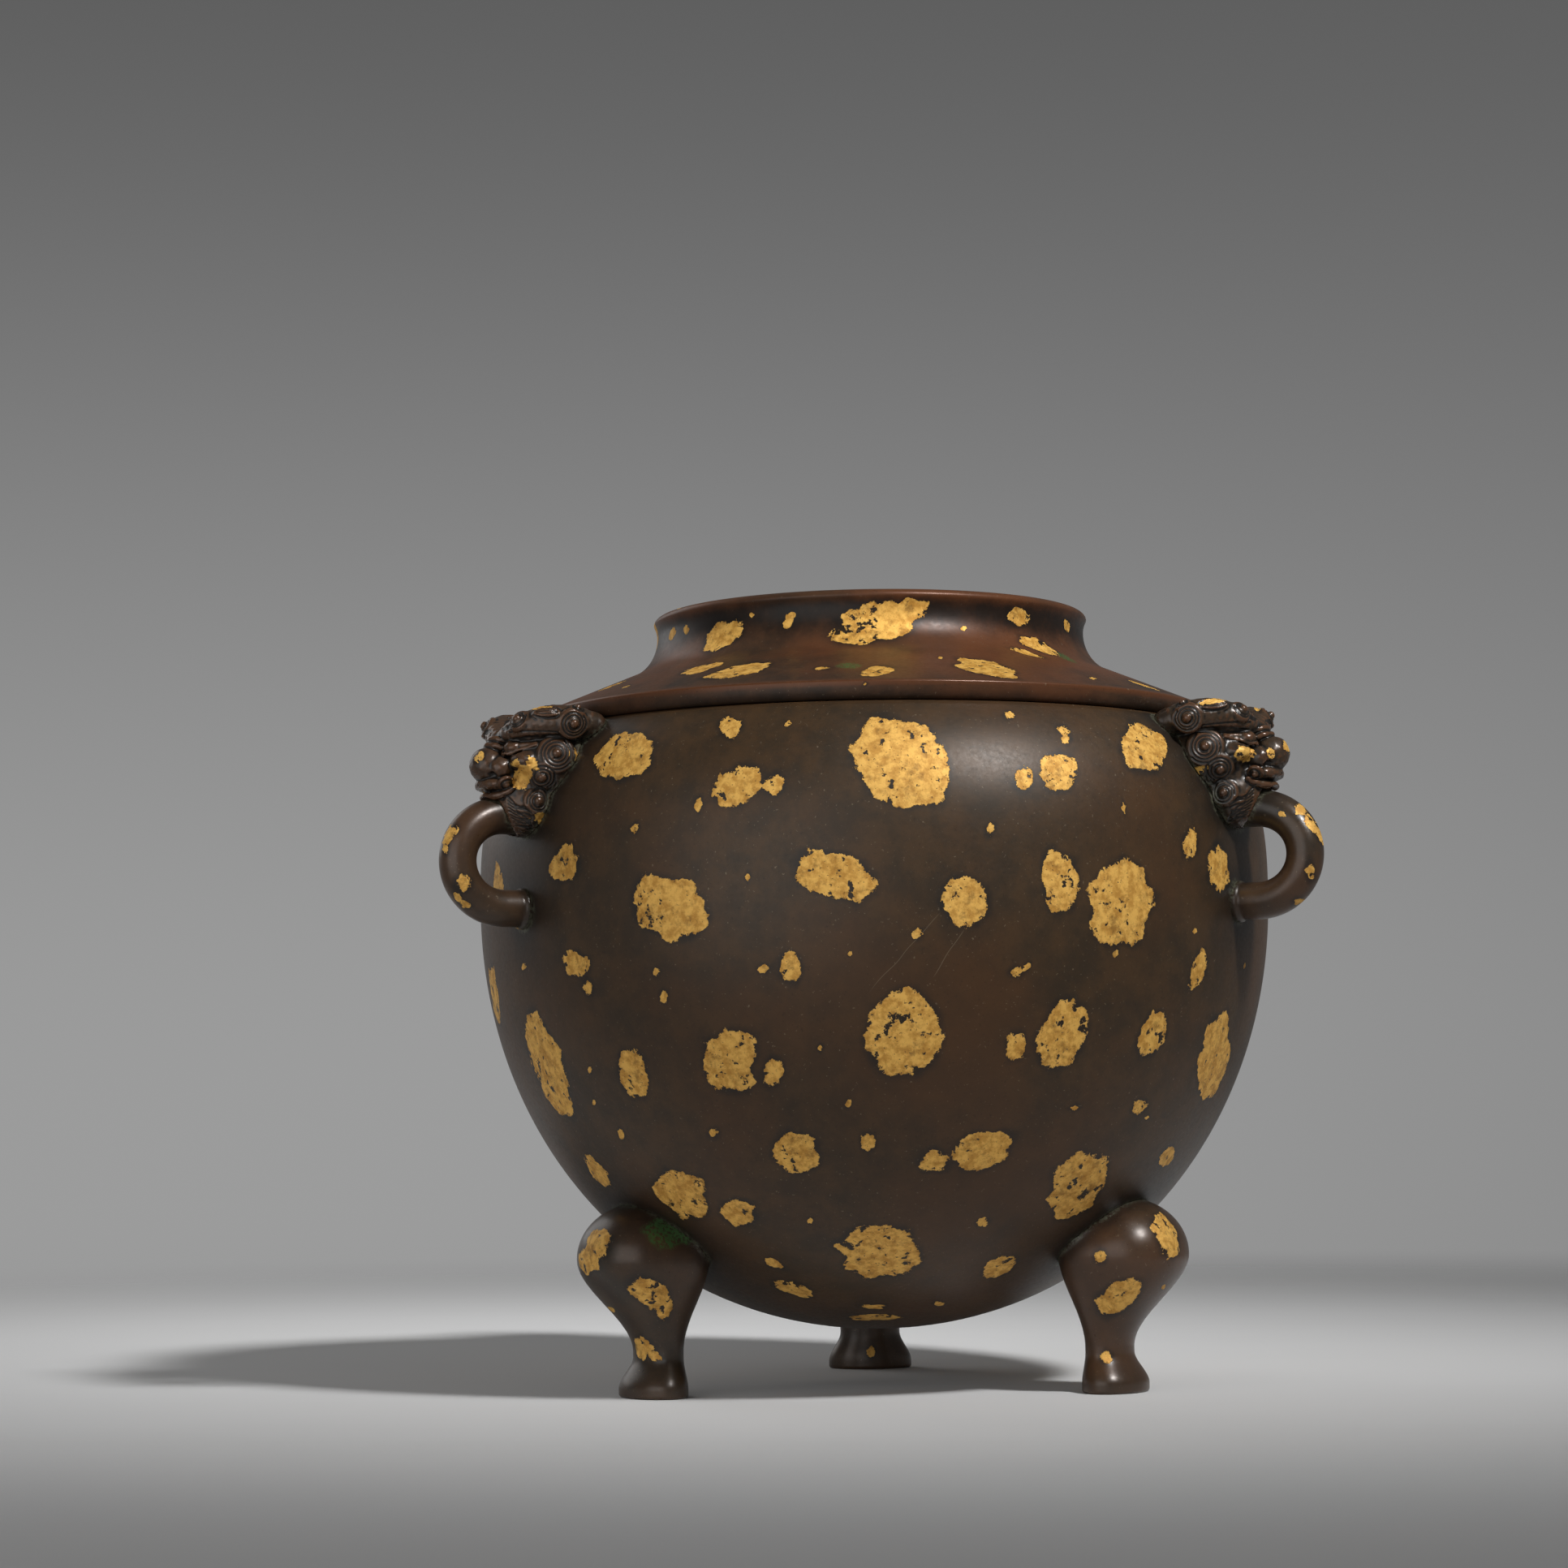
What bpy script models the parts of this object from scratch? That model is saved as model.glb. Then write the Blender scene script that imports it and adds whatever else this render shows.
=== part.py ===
"""Bronze tripod incense burner with lion-mask loop handles.

Metres, +Z up. The origin lies on the vessel's axis, in the plane that the three feet stand on.
A turned globe carries a separate collar on its mouth. Three stations, a third of a turn apart,
each hold a leg, a lion mask and a loop handle, fixed by domed pins from inside the vessel.
"""

import math

import bmesh
import bpy
from mathutils import Vector

MM = 0.001

# Fits
CLEARANCE = 0.3 * MM
PIN_SEAT = 0.8 * MM
SLIVER = 0.01 * MM
MERGE_DISTANCE = 0.001 * MM

# Globe
BODY_RADIUS = 105.5 * MM
BELLY_LIFT = 15.0 * MM
BELLY_DEPTH = 114.0 * MM
BELLY_FULLNESS = 2.06
SHOULDER_RISE = 43.8 * MM
SHOULDER_INSET = 15.5 * MM
SHOULDER_FULLNESS = 2.9
WALL = 4.0 * MM
MOUTH_LAND = 6.0 * MM

# Collar: the shoulder above the seam, the neck and the lip
BAND_TUCK = 0.9 * MM
RIDGE_OVERHANG = 0.8 * MM
RIDGE_RISE = 5.2 * MM
RIDGE_ROUND = 0.7 * MM
SHOULDER_SLOPE = math.radians(22.5)
COVE_RADIUS = 12.5 * MM
NECK_RADIUS = 57.5 * MM
LIP_RISE = 5.2 * MM
LIP_FLARE = 2.2 * MM
COLLAR_WALL = 3.4 * MM
SPIGOT_DEPTH = 4.0 * MM
SPIGOT_WALL = 3.0 * MM

# Legs
STATIONS = 3
FIRST_STATION = math.radians(-150.0)
FOOT_CIRCLE_RADIUS = 68.5 * MM
FOOT_WIDTH = 23.6 * MM
FOOT_DEPTH = 15.8 * MM
FOOT_EDGE = 3.6 * MM
FOOT_ROUND = 1.0 * MM
ANKLE_WIDTH = 17.5 * MM
ANKLE_DEPTH = 11.2 * MM
ANKLE_HEIGHT = 9.5 * MM
ANKLE_SET_IN = 1.4 * MM
KNEE_WIDTH = 35.0 * MM
KNEE_DEPTH = 30.8 * MM
KNEE_HEIGHT = 34.0 * MM
KNEE_STANDOFF = 11.0 * MM
KNEE_CROWN = 15.5 * MM

# Lion masks: each lobe is an offset from the mask's centre (out, across, up) and its half sizes,
# in millimetres; the chin lobe follows the loop's rod, which is let into it
MASK_DROP = 13.8 * MM
CHIN_OUT = 6.0
CHIN_DEPTH = 9.0
CHIN_WIDTH = 11.0
CHIN_WALL = 1.2 * MM
MASK_LOBES = {
    "boss": ((0.5, 0.0, 0.0), (12.0, 16.5, 16.0)),
    "brow": ((8.0, 0.0, 10.5), (8.2, 15.0, 5.6)),
    "nose": ((14.2, 0.0, -1.5), (5.0, 6.5, 4.3)),
    "muzzle": ((11.5, 0.0, -7.0), (5.5, 10.0, 3.8)),
    "cheek_near": ((6.0, -10.5, -1.0), (7.5, 6.0, 8.5)),
    "cheek_far": ((6.0, 10.5, -1.0), (7.5, 6.0, 8.5)),
    "eye_near": ((12.2, -6.8, 4.6), (3.0, 3.4, 3.0)),
    "eye_far": ((12.2, 6.8, 4.6), (3.0, 3.4, 3.0)),
}

# Loop handles
LOOP_CHIN_DROP = 10.9 * MM
LOOP_HEIGHT = 23.6 * MM
LOOP_REACH = 18.3 * MM
LOOP_STRAIGHT = 5.6 * MM
LOOP_ROD = 9.5 * MM
LOOP_FOOT_FLARE = 0.8 * MM
LOOP_SOCKET_FLOOR = 2.5 * MM

# Pins
PIN_DIAMETER = 4.6 * MM
PIN_HEAD_DIAMETER = 9.6 * MM
PIN_HEAD_HEIGHT = 2.2 * MM
PIN_GRIP = 9.0 * MM
LEG_PIN_RISE = 6.0 * MM
LOOP_PIN_GRIP = 5.0 * MM

# Facets
SMOOTH_ANGLE = math.radians(40.0)
TURNED_SIDES = 48
BELLY_STEPS = 16
SHOULDER_STEPS = 7
BELLY_STEPS_INSIDE = 12
SHOULDER_STEPS_INSIDE = 8
BAND_STEPS = 3
COVE_STEPS = 5
FLARE_STEPS = 3
LEG_SIDES = 20
SHANK_STEPS = 5
CROWN_STEPS = 4
CROWN_LAST = math.radians(80.0)
LOBE_SIDES = 10
LOBE_RINGS = 7
ROD_SIDES = 12
LOOP_STEPS = 12
PIN_SIDES = 12
DOME_STEPS = 3

# Finishes: base colour and roughness of each material
METALLIC = 0.6
FINISHES = {
    "globe_bronze": ((0.046, 0.028, 0.018), 0.38),
    "collar_bronze": ((0.060, 0.030, 0.017), 0.36),
    "cast_bronze": ((0.042, 0.027, 0.018), 0.42),
    "pin_bronze": ((0.120, 0.075, 0.040), 0.48),
}

# Heights and radii that follow from the sizes above
MID_HEIGHT = BELLY_LIFT + BELLY_DEPTH
SEAM_HEIGHT = MID_HEIGHT + SHOULDER_RISE
SEAM_RADIUS = BODY_RADIUS - SHOULDER_INSET
MOUTH_RADIUS = SEAM_RADIUS - MOUTH_LAND
SHOULDER_SPAN = SHOULDER_RISE / (1 - (SEAM_RADIUS / BODY_RADIUS) ** SHOULDER_FULLNESS) ** (
    1 / SHOULDER_FULLNESS
)
MASK_HEIGHT = SEAM_HEIGHT - MASK_DROP
LOOP_TOP_HEIGHT = MASK_HEIGHT - LOOP_CHIN_DROP
LOOP_FOOT_HEIGHT = LOOP_TOP_HEIGHT - LOOP_HEIGHT
LEG_PIN_HEIGHT = KNEE_HEIGHT + LEG_PIN_RISE
CHIN_LOBE = (
    (CHIN_OUT, 0.0, -LOOP_CHIN_DROP / MM),
    (CHIN_DEPTH, CHIN_WIDTH, (LOOP_ROD / 2 + CLEARANCE + CHIN_WALL) / MM),
)


def clear_scene():
    """Remove every object that the scene starts with."""
    for obj in list(bpy.data.objects):
        bpy.data.objects.remove(obj, do_unlink=True)


def bronze(name, colour, roughness):
    """A patinated bronze material."""
    material = bpy.data.materials.new(name)
    material.use_nodes = True
    shader = material.node_tree.nodes["Principled BSDF"]
    shader.inputs["Base Color"].default_value = (*colour, 1.0)
    shader.inputs["Roughness"].default_value = roughness
    shader.inputs["Metallic"].default_value = METALLIC
    return material


def add_object(name, mesh, material=None):
    """Put a mesh in the scene as a named object."""
    obj = bpy.data.objects.new(name, mesh)
    bpy.context.scene.collection.objects.link(obj)
    if material and not mesh.materials:
        mesh.materials.append(material)
    return obj


def mesh_from(name, bm):
    """Turn a bmesh into a mesh with its faces pointing out and its round parts shaded smooth."""
    bmesh.ops.recalc_face_normals(bm, faces=bm.faces)
    mesh = bpy.data.meshes.new(name)
    bm.to_mesh(mesh)
    bm.free()
    mesh.shade_smooth()
    mesh.set_sharp_from_angle(angle=SMOOTH_ANGLE)
    return mesh


def arc(centre, radius, start, end, steps):
    """Points (radius, height) along a circular arc, both ends included."""
    angles = [start + (end - start) * i / steps for i in range(steps + 1)]
    return [(centre[0] + radius * math.cos(a), centre[1] + radius * math.sin(a)) for a in angles]


def turned(name, outline, sides, ring=False):
    """Turn an outline of (radius, height) points about Z; a ring's outline closes on itself.

    The first facet is centred on +X, so that a hole drilled there stays clear of the facets' edges.
    """
    bm = bmesh.new()
    half = math.pi / sides
    verts = [bm.verts.new((r * math.cos(half), r * math.sin(half), z)) for r, z in outline]
    edges = [bm.edges.new(pair) for pair in zip(verts, verts[1:])]
    if ring:
        edges.append(bm.edges.new((verts[-1], verts[0])))
    bmesh.ops.spin(
        bm, geom=verts + edges, axis=(0, 0, 1), cent=(0, 0, 0), angle=2 * math.pi, steps=sides
    )
    bmesh.ops.remove_doubles(bm, verts=bm.verts, dist=MERGE_DISTANCE)
    return mesh_from(name, bm)


def outset(outline, distance):
    """Move an outline sideways, to the right of its direction; a point on the axis stays on it."""
    moved = []
    for i, (r, z) in enumerate(outline):
        before, after = outline[max(i - 1, 0)], outline[min(i + 1, len(outline) - 1)]
        dr, dz = after[0] - before[0], after[1] - before[1]
        if r < MERGE_DISTANCE:
            dr, dz = 1.0, 0.0
        length = math.hypot(dr, dz)
        moved.append((max(r + distance * dz / length, 0.0), z - distance * dr / length))
    return moved


def clipped(outline, radius):
    """The part of an inside outline that lies within a radius, ending on it at one end."""
    kept = []
    for (r0, z0), (r1, z1) in zip(outline, outline[1:]):
        if (r0 > radius) != (r1 > radius):
            share = (radius - r0) / (r1 - r0)
            kept.append((radius, z0 + (z1 - z0) * share))
        if r1 <= radius:
            kept.append((r1, z1))
    return kept


def globe_radius(height):
    """Outer radius of the globe at a height."""
    if height < MID_HEIGHT:
        share, fullness = (MID_HEIGHT - height) / BELLY_DEPTH, BELLY_FULLNESS
    else:
        share, fullness = (height - MID_HEIGHT) / SHOULDER_SPAN, SHOULDER_FULLNESS
    return BODY_RADIUS * (1 - share**fullness) ** (1 / fullness)


def globe_normal(height):
    """Outward direction (radius, height) of the globe's surface at a height."""
    step = 0.1 * MM
    slope = (globe_radius(height + step) - globe_radius(height - step)) / (2 * step)
    length = math.hypot(1.0, slope)
    return 1.0 / length, -slope / length


def globe_outline(belly_steps, shoulder_steps):
    """Outside of the globe, from the axis under the belly to the seam."""
    outline = []
    for i in range(belly_steps):
        angle = math.pi / 2 * (1 - i / belly_steps)
        r = BODY_RADIUS * math.cos(angle) ** (2 / BELLY_FULLNESS)
        z = MID_HEIGHT - BELLY_DEPTH * math.sin(angle) ** (2 / BELLY_FULLNESS)
        outline.append((0.0 if i == 0 else r, z))
    last = math.acos((SEAM_RADIUS / BODY_RADIUS) ** (SHOULDER_FULLNESS / 2))
    for i in range(shoulder_steps + 1):
        angle = last * i / shoulder_steps
        r = BODY_RADIUS * math.cos(angle) ** (2 / SHOULDER_FULLNESS)
        z = MID_HEIGHT + SHOULDER_SPAN * math.sin(angle) ** (2 / SHOULDER_FULLNESS)
        outline.append((r, z))
    return outline


def collar_outline():
    """Outside of the collar, from the seam over the ridge and the neck to the lip's edge."""
    foot = SEAM_HEIGHT + CLEARANCE
    inner = SEAM_RADIUS - BAND_TUCK
    bulge = BAND_TUCK + RIDGE_OVERHANG
    rise = RIDGE_RISE - CLEARANCE - RIDGE_ROUND
    outline = []
    for i in range(BAND_STEPS + 1):
        angle = math.pi / 2 * i / BAND_STEPS
        outline.append((inner + bulge * math.sin(angle), foot + rise * (1 - math.cos(angle))))
    ridge_radius, ridge_height = outline[-1]
    start = (ridge_radius - RIDGE_ROUND, ridge_height + RIDGE_ROUND)
    outline.append(start)
    cove_centre = NECK_RADIUS + COVE_RADIUS
    tangent_radius = cove_centre - COVE_RADIUS * math.sin(SHOULDER_SLOPE)
    tangent_height = start[1] + (start[0] - tangent_radius) * math.tan(SHOULDER_SLOPE)
    waist_height = tangent_height + COVE_RADIUS * math.cos(SHOULDER_SLOPE)
    outline += arc(
        (cove_centre, waist_height), COVE_RADIUS, 1.5 * math.pi - SHOULDER_SLOPE, math.pi, COVE_STEPS
    )
    flare_radius = (LIP_RISE**2 + LIP_FLARE**2) / (2 * LIP_FLARE)
    flare_angle = math.asin(LIP_RISE / flare_radius)
    flare_centre = (NECK_RADIUS + flare_radius, waist_height)
    flare = arc(flare_centre, flare_radius, math.pi, math.pi - flare_angle, FLARE_STEPS)
    return outline + flare[1:]


def make_body():
    """The globe: a cast shell with a flat land at its mouth."""
    outer = globe_outline(BELLY_STEPS, SHOULDER_STEPS)
    inner = outset(globe_outline(BELLY_STEPS_INSIDE, SHOULDER_STEPS_INSIDE), -WALL)
    mid = max(range(len(inner)), key=lambda i: inner[i][0])
    throat = clipped(inner[mid:], MOUTH_RADIUS)[:1]
    shell = [p for i, p in enumerate(inner) if i <= mid or p[0] > MOUTH_RADIUS]
    mouth = [(MOUTH_RADIUS, SEAM_HEIGHT)]
    return turned("vessel_body", outer + mouth + throat + shell[::-1], TURNED_SIDES)


def make_collar():
    """The collar ring, with the spigot that drops into the globe's mouth."""
    outer = collar_outline()
    spigot = MOUTH_RADIUS - CLEARANCE
    inner = clipped(outset(outer[BAND_STEPS:], -COLLAR_WALL), spigot - SPIGOT_WALL)
    inner[-1] = (outer[-1][0] - COLLAR_WALL, outer[-1][1])
    under = [
        (spigot - SPIGOT_WALL, SEAM_HEIGHT - SPIGOT_DEPTH),
        (spigot, SEAM_HEIGHT - SPIGOT_DEPTH),
        (spigot, outer[0][1]),
    ]
    return turned("shoulder_collar", outer + inner[::-1] + under, TURNED_SIDES, ring=True)


def make_envelope():
    """Solid of the vessel's outside plus the fitting clearance, for saddling what sits on it."""
    outline = outset(globe_outline(BELLY_STEPS, SHOULDER_STEPS) + collar_outline(), CLEARANCE)
    return turned("vessel_envelope", outline + [(0.0, outline[-1][1])], TURNED_SIDES)


def ease(share):
    """Smooth step from 0 to 1."""
    return share * share * (3 - 2 * share)


def leg_section(height):
    """Centre radius, half width and half depth of a leg at a height."""
    foot = (FOOT_CIRCLE_RADIUS, FOOT_WIDTH / 2, FOOT_DEPTH / 2)
    ankle = (FOOT_CIRCLE_RADIUS - ANKLE_SET_IN, ANKLE_WIDTH / 2, ANKLE_DEPTH / 2)
    knee = (globe_radius(KNEE_HEIGHT) + KNEE_STANDOFF, KNEE_WIDTH / 2, KNEE_DEPTH / 2)
    if height < FOOT_EDGE:
        return foot
    if height < ANKLE_HEIGHT:
        low, high = foot, ankle
        share = ease((height - FOOT_EDGE) / (ANKLE_HEIGHT - FOOT_EDGE))
    elif height < KNEE_HEIGHT:
        low, high = ankle, knee
        share = ease((height - ANKLE_HEIGHT) / (KNEE_HEIGHT - ANKLE_HEIGHT))
    else:
        crown = math.sqrt(max(1 - ((height - KNEE_HEIGHT) / KNEE_CROWN) ** 2, 0.0))
        return knee[0], knee[1] * crown, knee[2] * crown
    return tuple(a + (b - a) * share for a, b in zip(low, high))


def make_leg_blank():
    """A cabriole leg before it is saddled: elliptical sections from the foot to the knee's crown."""
    rise = (KNEE_HEIGHT - ANKLE_HEIGHT) / SHANK_STEPS
    shank = [ANKLE_HEIGHT + rise * i for i in range(SHANK_STEPS + 1)]
    turn = CROWN_LAST / CROWN_STEPS
    crown = [KNEE_HEIGHT + KNEE_CROWN * math.sin(turn * (i + 1)) for i in range(CROWN_STEPS)]
    middle = (FOOT_EDGE + ANKLE_HEIGHT) / 2
    heights = [0.0, FOOT_ROUND, FOOT_EDGE, middle] + shank + crown
    bm = bmesh.new()
    rings = []
    for height in heights:
        centre, width, depth = leg_section(height)
        trim = FOOT_ROUND if height == 0.0 else 0.0
        ring = []
        for i in range(LEG_SIDES):
            angle = 2 * math.pi * i / LEG_SIDES
            out = centre + (depth - trim) * math.cos(angle)
            ring.append(bm.verts.new((out, (width - trim) * math.sin(angle), height)))
        rings.append(ring)
    for low, high in zip(rings, rings[1:]):
        for i in range(LEG_SIDES):
            j = (i + 1) % LEG_SIDES
            bm.faces.new((low[i], low[j], high[j], high[i]))
    bm.faces.new(rings[0][::-1])
    bm.faces.new(rings[-1])
    return mesh_from("leg_blank", bm)


def loop_path(tenon):
    """Centre line of a loop in its radial plane, from the wall to the end of its tenon in the mask."""
    wall = globe_radius(LOOP_FOOT_HEIGHT)
    middle = (LOOP_TOP_HEIGHT + LOOP_FOOT_HEIGHT) / 2
    turn = wall + LOOP_STRAIGHT
    path = [(wall - WALL, LOOP_FOOT_HEIGHT), (wall + CLEARANCE, LOOP_FOOT_HEIGHT)]
    path.append((wall + LOOP_STRAIGHT / 2, LOOP_FOOT_HEIGHT))
    for i in range(LOOP_STEPS + 1):
        angle = math.pi * (i / LOOP_STEPS - 0.5)
        out = turn + (LOOP_REACH - LOOP_STRAIGHT) * math.cos(angle)
        path.append((out, middle + LOOP_HEIGHT / 2 * math.sin(angle)))
    path.append((globe_radius(LOOP_TOP_HEIGHT) + LOOP_SOCKET_FLOOR - tenon, LOOP_TOP_HEIGHT))
    return path


def swept_rod(name, path, radii):
    """A rod of round section along a path of (radius, height) points in the XZ plane."""
    bm = bmesh.new()
    rings = []
    for i, (r, z) in enumerate(path):
        before, after = path[max(i - 1, 0)], path[min(i + 1, len(path) - 1)]
        along = Vector((after[0] - before[0], 0.0, after[1] - before[1])).normalized()
        side = along.cross(Vector((0.0, 1.0, 0.0)))
        ring = []
        for k in range(ROD_SIDES):
            angle = 2 * math.pi * k / ROD_SIDES
            offset = side * math.cos(angle) + Vector((0.0, math.sin(angle), 0.0))
            ring.append(bm.verts.new(Vector((r, 0.0, z)) + offset * radii[i]))
        rings.append(ring)
    for low, high in zip(rings, rings[1:]):
        for i in range(ROD_SIDES):
            j = (i + 1) % ROD_SIDES
            bm.faces.new((low[i], low[j], high[j], high[i]))
    bm.faces.new(rings[0][::-1])
    bm.faces.new(rings[-1])
    return mesh_from(name, bm)


def make_loop_blank():
    """A loop handle before its foot is saddled to the wall; the foot flares a little."""
    path = loop_path(0.0)
    radii = [LOOP_ROD / 2] * len(path)
    radii[0] = radii[1] = LOOP_ROD / 2 + LOOP_FOOT_FLARE
    return swept_rod("loop_blank", path, radii)


def make_loop_room():
    """The room that a loop needs in its mask: the rod and the fitting clearance."""
    path = loop_path(CLEARANCE)
    return swept_rod("loop_room", path, [LOOP_ROD / 2 + CLEARANCE] * len(path))


def make_lobe(name, centre, half):
    """One rounded lobe of a lion mask."""
    bm = bmesh.new()
    bmesh.ops.create_uvsphere(bm, u_segments=LOBE_SIDES, v_segments=LOBE_RINGS, radius=1.0)
    bmesh.ops.scale(bm, vec=[h * MM for h in half], verts=bm.verts)
    anchor = Vector((globe_radius(MASK_HEIGHT), 0.0, MASK_HEIGHT))
    bmesh.ops.translate(bm, vec=anchor + Vector(centre) * MM, verts=bm.verts)
    return mesh_from(name, bm)


def make_pin(name, grip):
    """A domed pin about its own Z: the head inside the vessel, the shank through the wall."""
    dome = PIN_HEAD_DIAMETER / 2
    shank = PIN_DIAMETER / 2
    outline = [(0.0, -PIN_SEAT - PIN_HEAD_HEIGHT)]
    for i in range(DOME_STEPS):
        angle = math.pi / 2 * (i + 1) / DOME_STEPS
        outline.append((dome * math.sin(angle), -PIN_SEAT - PIN_HEAD_HEIGHT * math.cos(angle)))
    outline += [(shank, -PIN_SEAT), (shank, WALL + grip), (0.0, WALL + grip)]
    return turned(name, outline, PIN_SIDES)


def make_pin_room(name, grip):
    """The hole for a pin: its shank and the fitting clearance, open inside the vessel."""
    radius = PIN_DIAMETER / 2 + CLEARANCE
    start, end = -PIN_HEAD_HEIGHT - WALL, WALL + grip + CLEARANCE
    return turned(name, [(0.0, start), (radius, start), (radius, end), (0.0, end)], PIN_SIDES)


def pin_place(height):
    """Location and rotation of a pin whose axis is square to the globe's wall at a height."""
    out, up = globe_normal(height)
    location = (globe_radius(height) - WALL * out, 0.0, height - WALL * up)
    return location, (0.0, math.atan2(out, up), 0.0)


def add_cutter(mesh, location=(0.0, 0.0, 0.0), rotation=(0.0, 0.0, 0.0), parent=None):
    """A helper solid that only cuts or joins, and is left out of the object."""
    cutter = add_object(f"{mesh.name}_cutter", mesh)
    cutter.location, cutter.rotation_euler, cutter.parent = location, rotation, parent
    cutter.hide_render = True
    cutter.display_type = "WIRE"
    return cutter


def combine(obj, operation, others):
    """Join other solids to an object, or cut them out of it."""
    for other in others:
        modifier = obj.modifiers.new(f"{operation.lower()}_{other.name}", "BOOLEAN")
        modifier.operation = operation
        modifier.solver = "EXACT"
        modifier.object = other


def finished_mesh(obj, name):
    """The object's mesh with its joins and cuts made, ready to be shared by every station."""
    graph = bpy.context.evaluated_depsgraph_get()
    mesh = bpy.data.meshes.new_from_object(obj.evaluated_get(graph))
    mesh.name = name
    bpy.data.objects.remove(obj, do_unlink=True)
    bm = bmesh.new()
    bm.from_mesh(mesh)
    bmesh.ops.triangulate(bm, faces=bm.faces)
    bmesh.ops.dissolve_degenerate(bm, edges=bm.edges, dist=SLIVER)
    bm.to_mesh(mesh)
    bm.free()
    return mesh


def main():
    """Build every piece and place it at its station."""
    clear_scene()
    finishes = {name: bronze(name, *finish) for name, finish in FINISHES.items()}
    cast_bronze = finishes["cast_bronze"]

    envelope = add_cutter(make_envelope())
    loop_room = add_cutter(make_loop_room())
    pins = {
        "leg": (make_pin("leg_pin", PIN_GRIP), make_pin_room("leg_pin_room", PIN_GRIP), LEG_PIN_HEIGHT),
        "mask": (make_pin("mask_pin", PIN_GRIP), make_pin_room("mask_pin_room", PIN_GRIP), MASK_HEIGHT),
        "loop": (
            make_pin("loop_pin", LOOP_PIN_GRIP),
            make_pin_room("loop_pin_room", LOOP_PIN_GRIP),
            LOOP_FOOT_HEIGHT,
        ),
    }
    rooms = {piece: add_cutter(room, *pin_place(height)) for piece, (_, room, height) in pins.items()}

    leg = add_object("leg_work", make_leg_blank(), cast_bronze)
    combine(leg, "DIFFERENCE", [envelope, rooms["leg"]])
    loop = add_object("loop_work", make_loop_blank(), cast_bronze)
    combine(loop, "DIFFERENCE", [envelope, rooms["loop"]])
    lobes = [make_lobe(f"lobe_{name}", *lobe) for name, lobe in MASK_LOBES.items()]
    lobes.append(make_lobe("lobe_chin", *CHIN_LOBE))
    mask = add_object("mask_work", lobes[0], cast_bronze)
    combine(mask, "UNION", [add_cutter(lobe) for lobe in lobes[1:]])
    combine(mask, "DIFFERENCE", [envelope, loop_room, rooms["mask"]])
    meshes = {
        "leg": finished_mesh(leg, "leg"),
        "loop": finished_mesh(loop, "loop"),
        "mask": finished_mesh(mask, "mask"),
    }

    body = add_object("vessel_body", make_body(), finishes["globe_bronze"])
    add_object("shoulder_collar", make_collar(), finishes["collar_bronze"])
    for number in range(1, STATIONS + 1):
        station = bpy.data.objects.new(f"station_{number}", None)
        bpy.context.scene.collection.objects.link(station)
        station.rotation_euler.z = FIRST_STATION + 2 * math.pi * (number - 1) / STATIONS
        for piece, mesh in meshes.items():
            pin, room, height = pins[piece]
            add_object(f"{piece}_{number}", mesh).parent = station
            fixing = add_object(f"{piece}_pin_{number}", pin, finishes["pin_bronze"])
            fixing.location, fixing.rotation_euler = pin_place(height)
            fixing.parent = station
            combine(body, "DIFFERENCE", [add_cutter(room, *pin_place(height), parent=station)])


main()
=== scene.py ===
"""Looks of the tripod incense burner: dark patinated bronze splashed with gold, in a soft studio.

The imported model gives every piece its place. Each piece here is a finer mesh that stands for one
node: turned globe and collar, three saddled legs, three sculpted lion masks with their loops, and
the domed pins inside. Lengths are metres unless a name ends in _mm or _px.
"""

import logging
import math
from dataclasses import dataclass, field
from enum import Enum
from functools import cached_property
from typing import Any

import bpy
import numpy as np
from mathutils import Matrix, Vector
from mathutils.kdtree import KDTree


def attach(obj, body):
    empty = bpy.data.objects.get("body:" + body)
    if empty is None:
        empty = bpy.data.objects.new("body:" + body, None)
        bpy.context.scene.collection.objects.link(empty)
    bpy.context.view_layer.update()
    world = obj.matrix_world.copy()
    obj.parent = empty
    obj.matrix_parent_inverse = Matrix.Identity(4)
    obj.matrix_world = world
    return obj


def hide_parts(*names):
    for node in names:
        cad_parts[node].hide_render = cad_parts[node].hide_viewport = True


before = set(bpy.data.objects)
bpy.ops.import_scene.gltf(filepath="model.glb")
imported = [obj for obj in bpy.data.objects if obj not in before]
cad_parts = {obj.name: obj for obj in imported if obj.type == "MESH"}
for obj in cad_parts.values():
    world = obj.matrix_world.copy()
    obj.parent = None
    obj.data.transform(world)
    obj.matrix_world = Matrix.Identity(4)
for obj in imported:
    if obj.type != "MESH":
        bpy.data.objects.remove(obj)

LOG = logging.getLogger("incense_burner")
MM = 0.001
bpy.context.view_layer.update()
FAR_MM = 99.0
BODY = "root"
CRISP = math.radians(38.0)
UPRIGHT = 0.05

Array = np.ndarray
Band = tuple[float, float]
Colour = tuple[float, float, float]
Point = tuple[float, float, float]
Splashes = tuple[tuple[float, ...], ...]

# Near-black for real soot specks and dark joints, and for painted shade round the fixed pieces, in the
# neck's cove and in the masks' furrows.
SOOT_AND_SHADE: Colour = (0.007, 0.006, 0.005)
DUST: Colour = (0.19, 0.15, 0.10)


class Slot(Enum):
    """The record's material slots."""

    GLOBE = "globe_bronze"
    COLLAR = "collar_bronze"
    CAST = "cast_bronze"
    PIN = "pin_bronze"


class Station(Enum):
    """The three places round the globe that carry a leg, a mask and a loop, with their angles."""

    FRONT_LEFT = -150.0
    FRONT_RIGHT = -30.0
    BACK = 90.0

    @property
    def number(self) -> int:
        """Number of the station, as in the nodes' names."""
        return list(Station).index(self) + 1

    @property
    def turn(self) -> float:
        """Angle of the station about the vessel's axis, in radians."""
        return math.radians(self.value)


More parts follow.
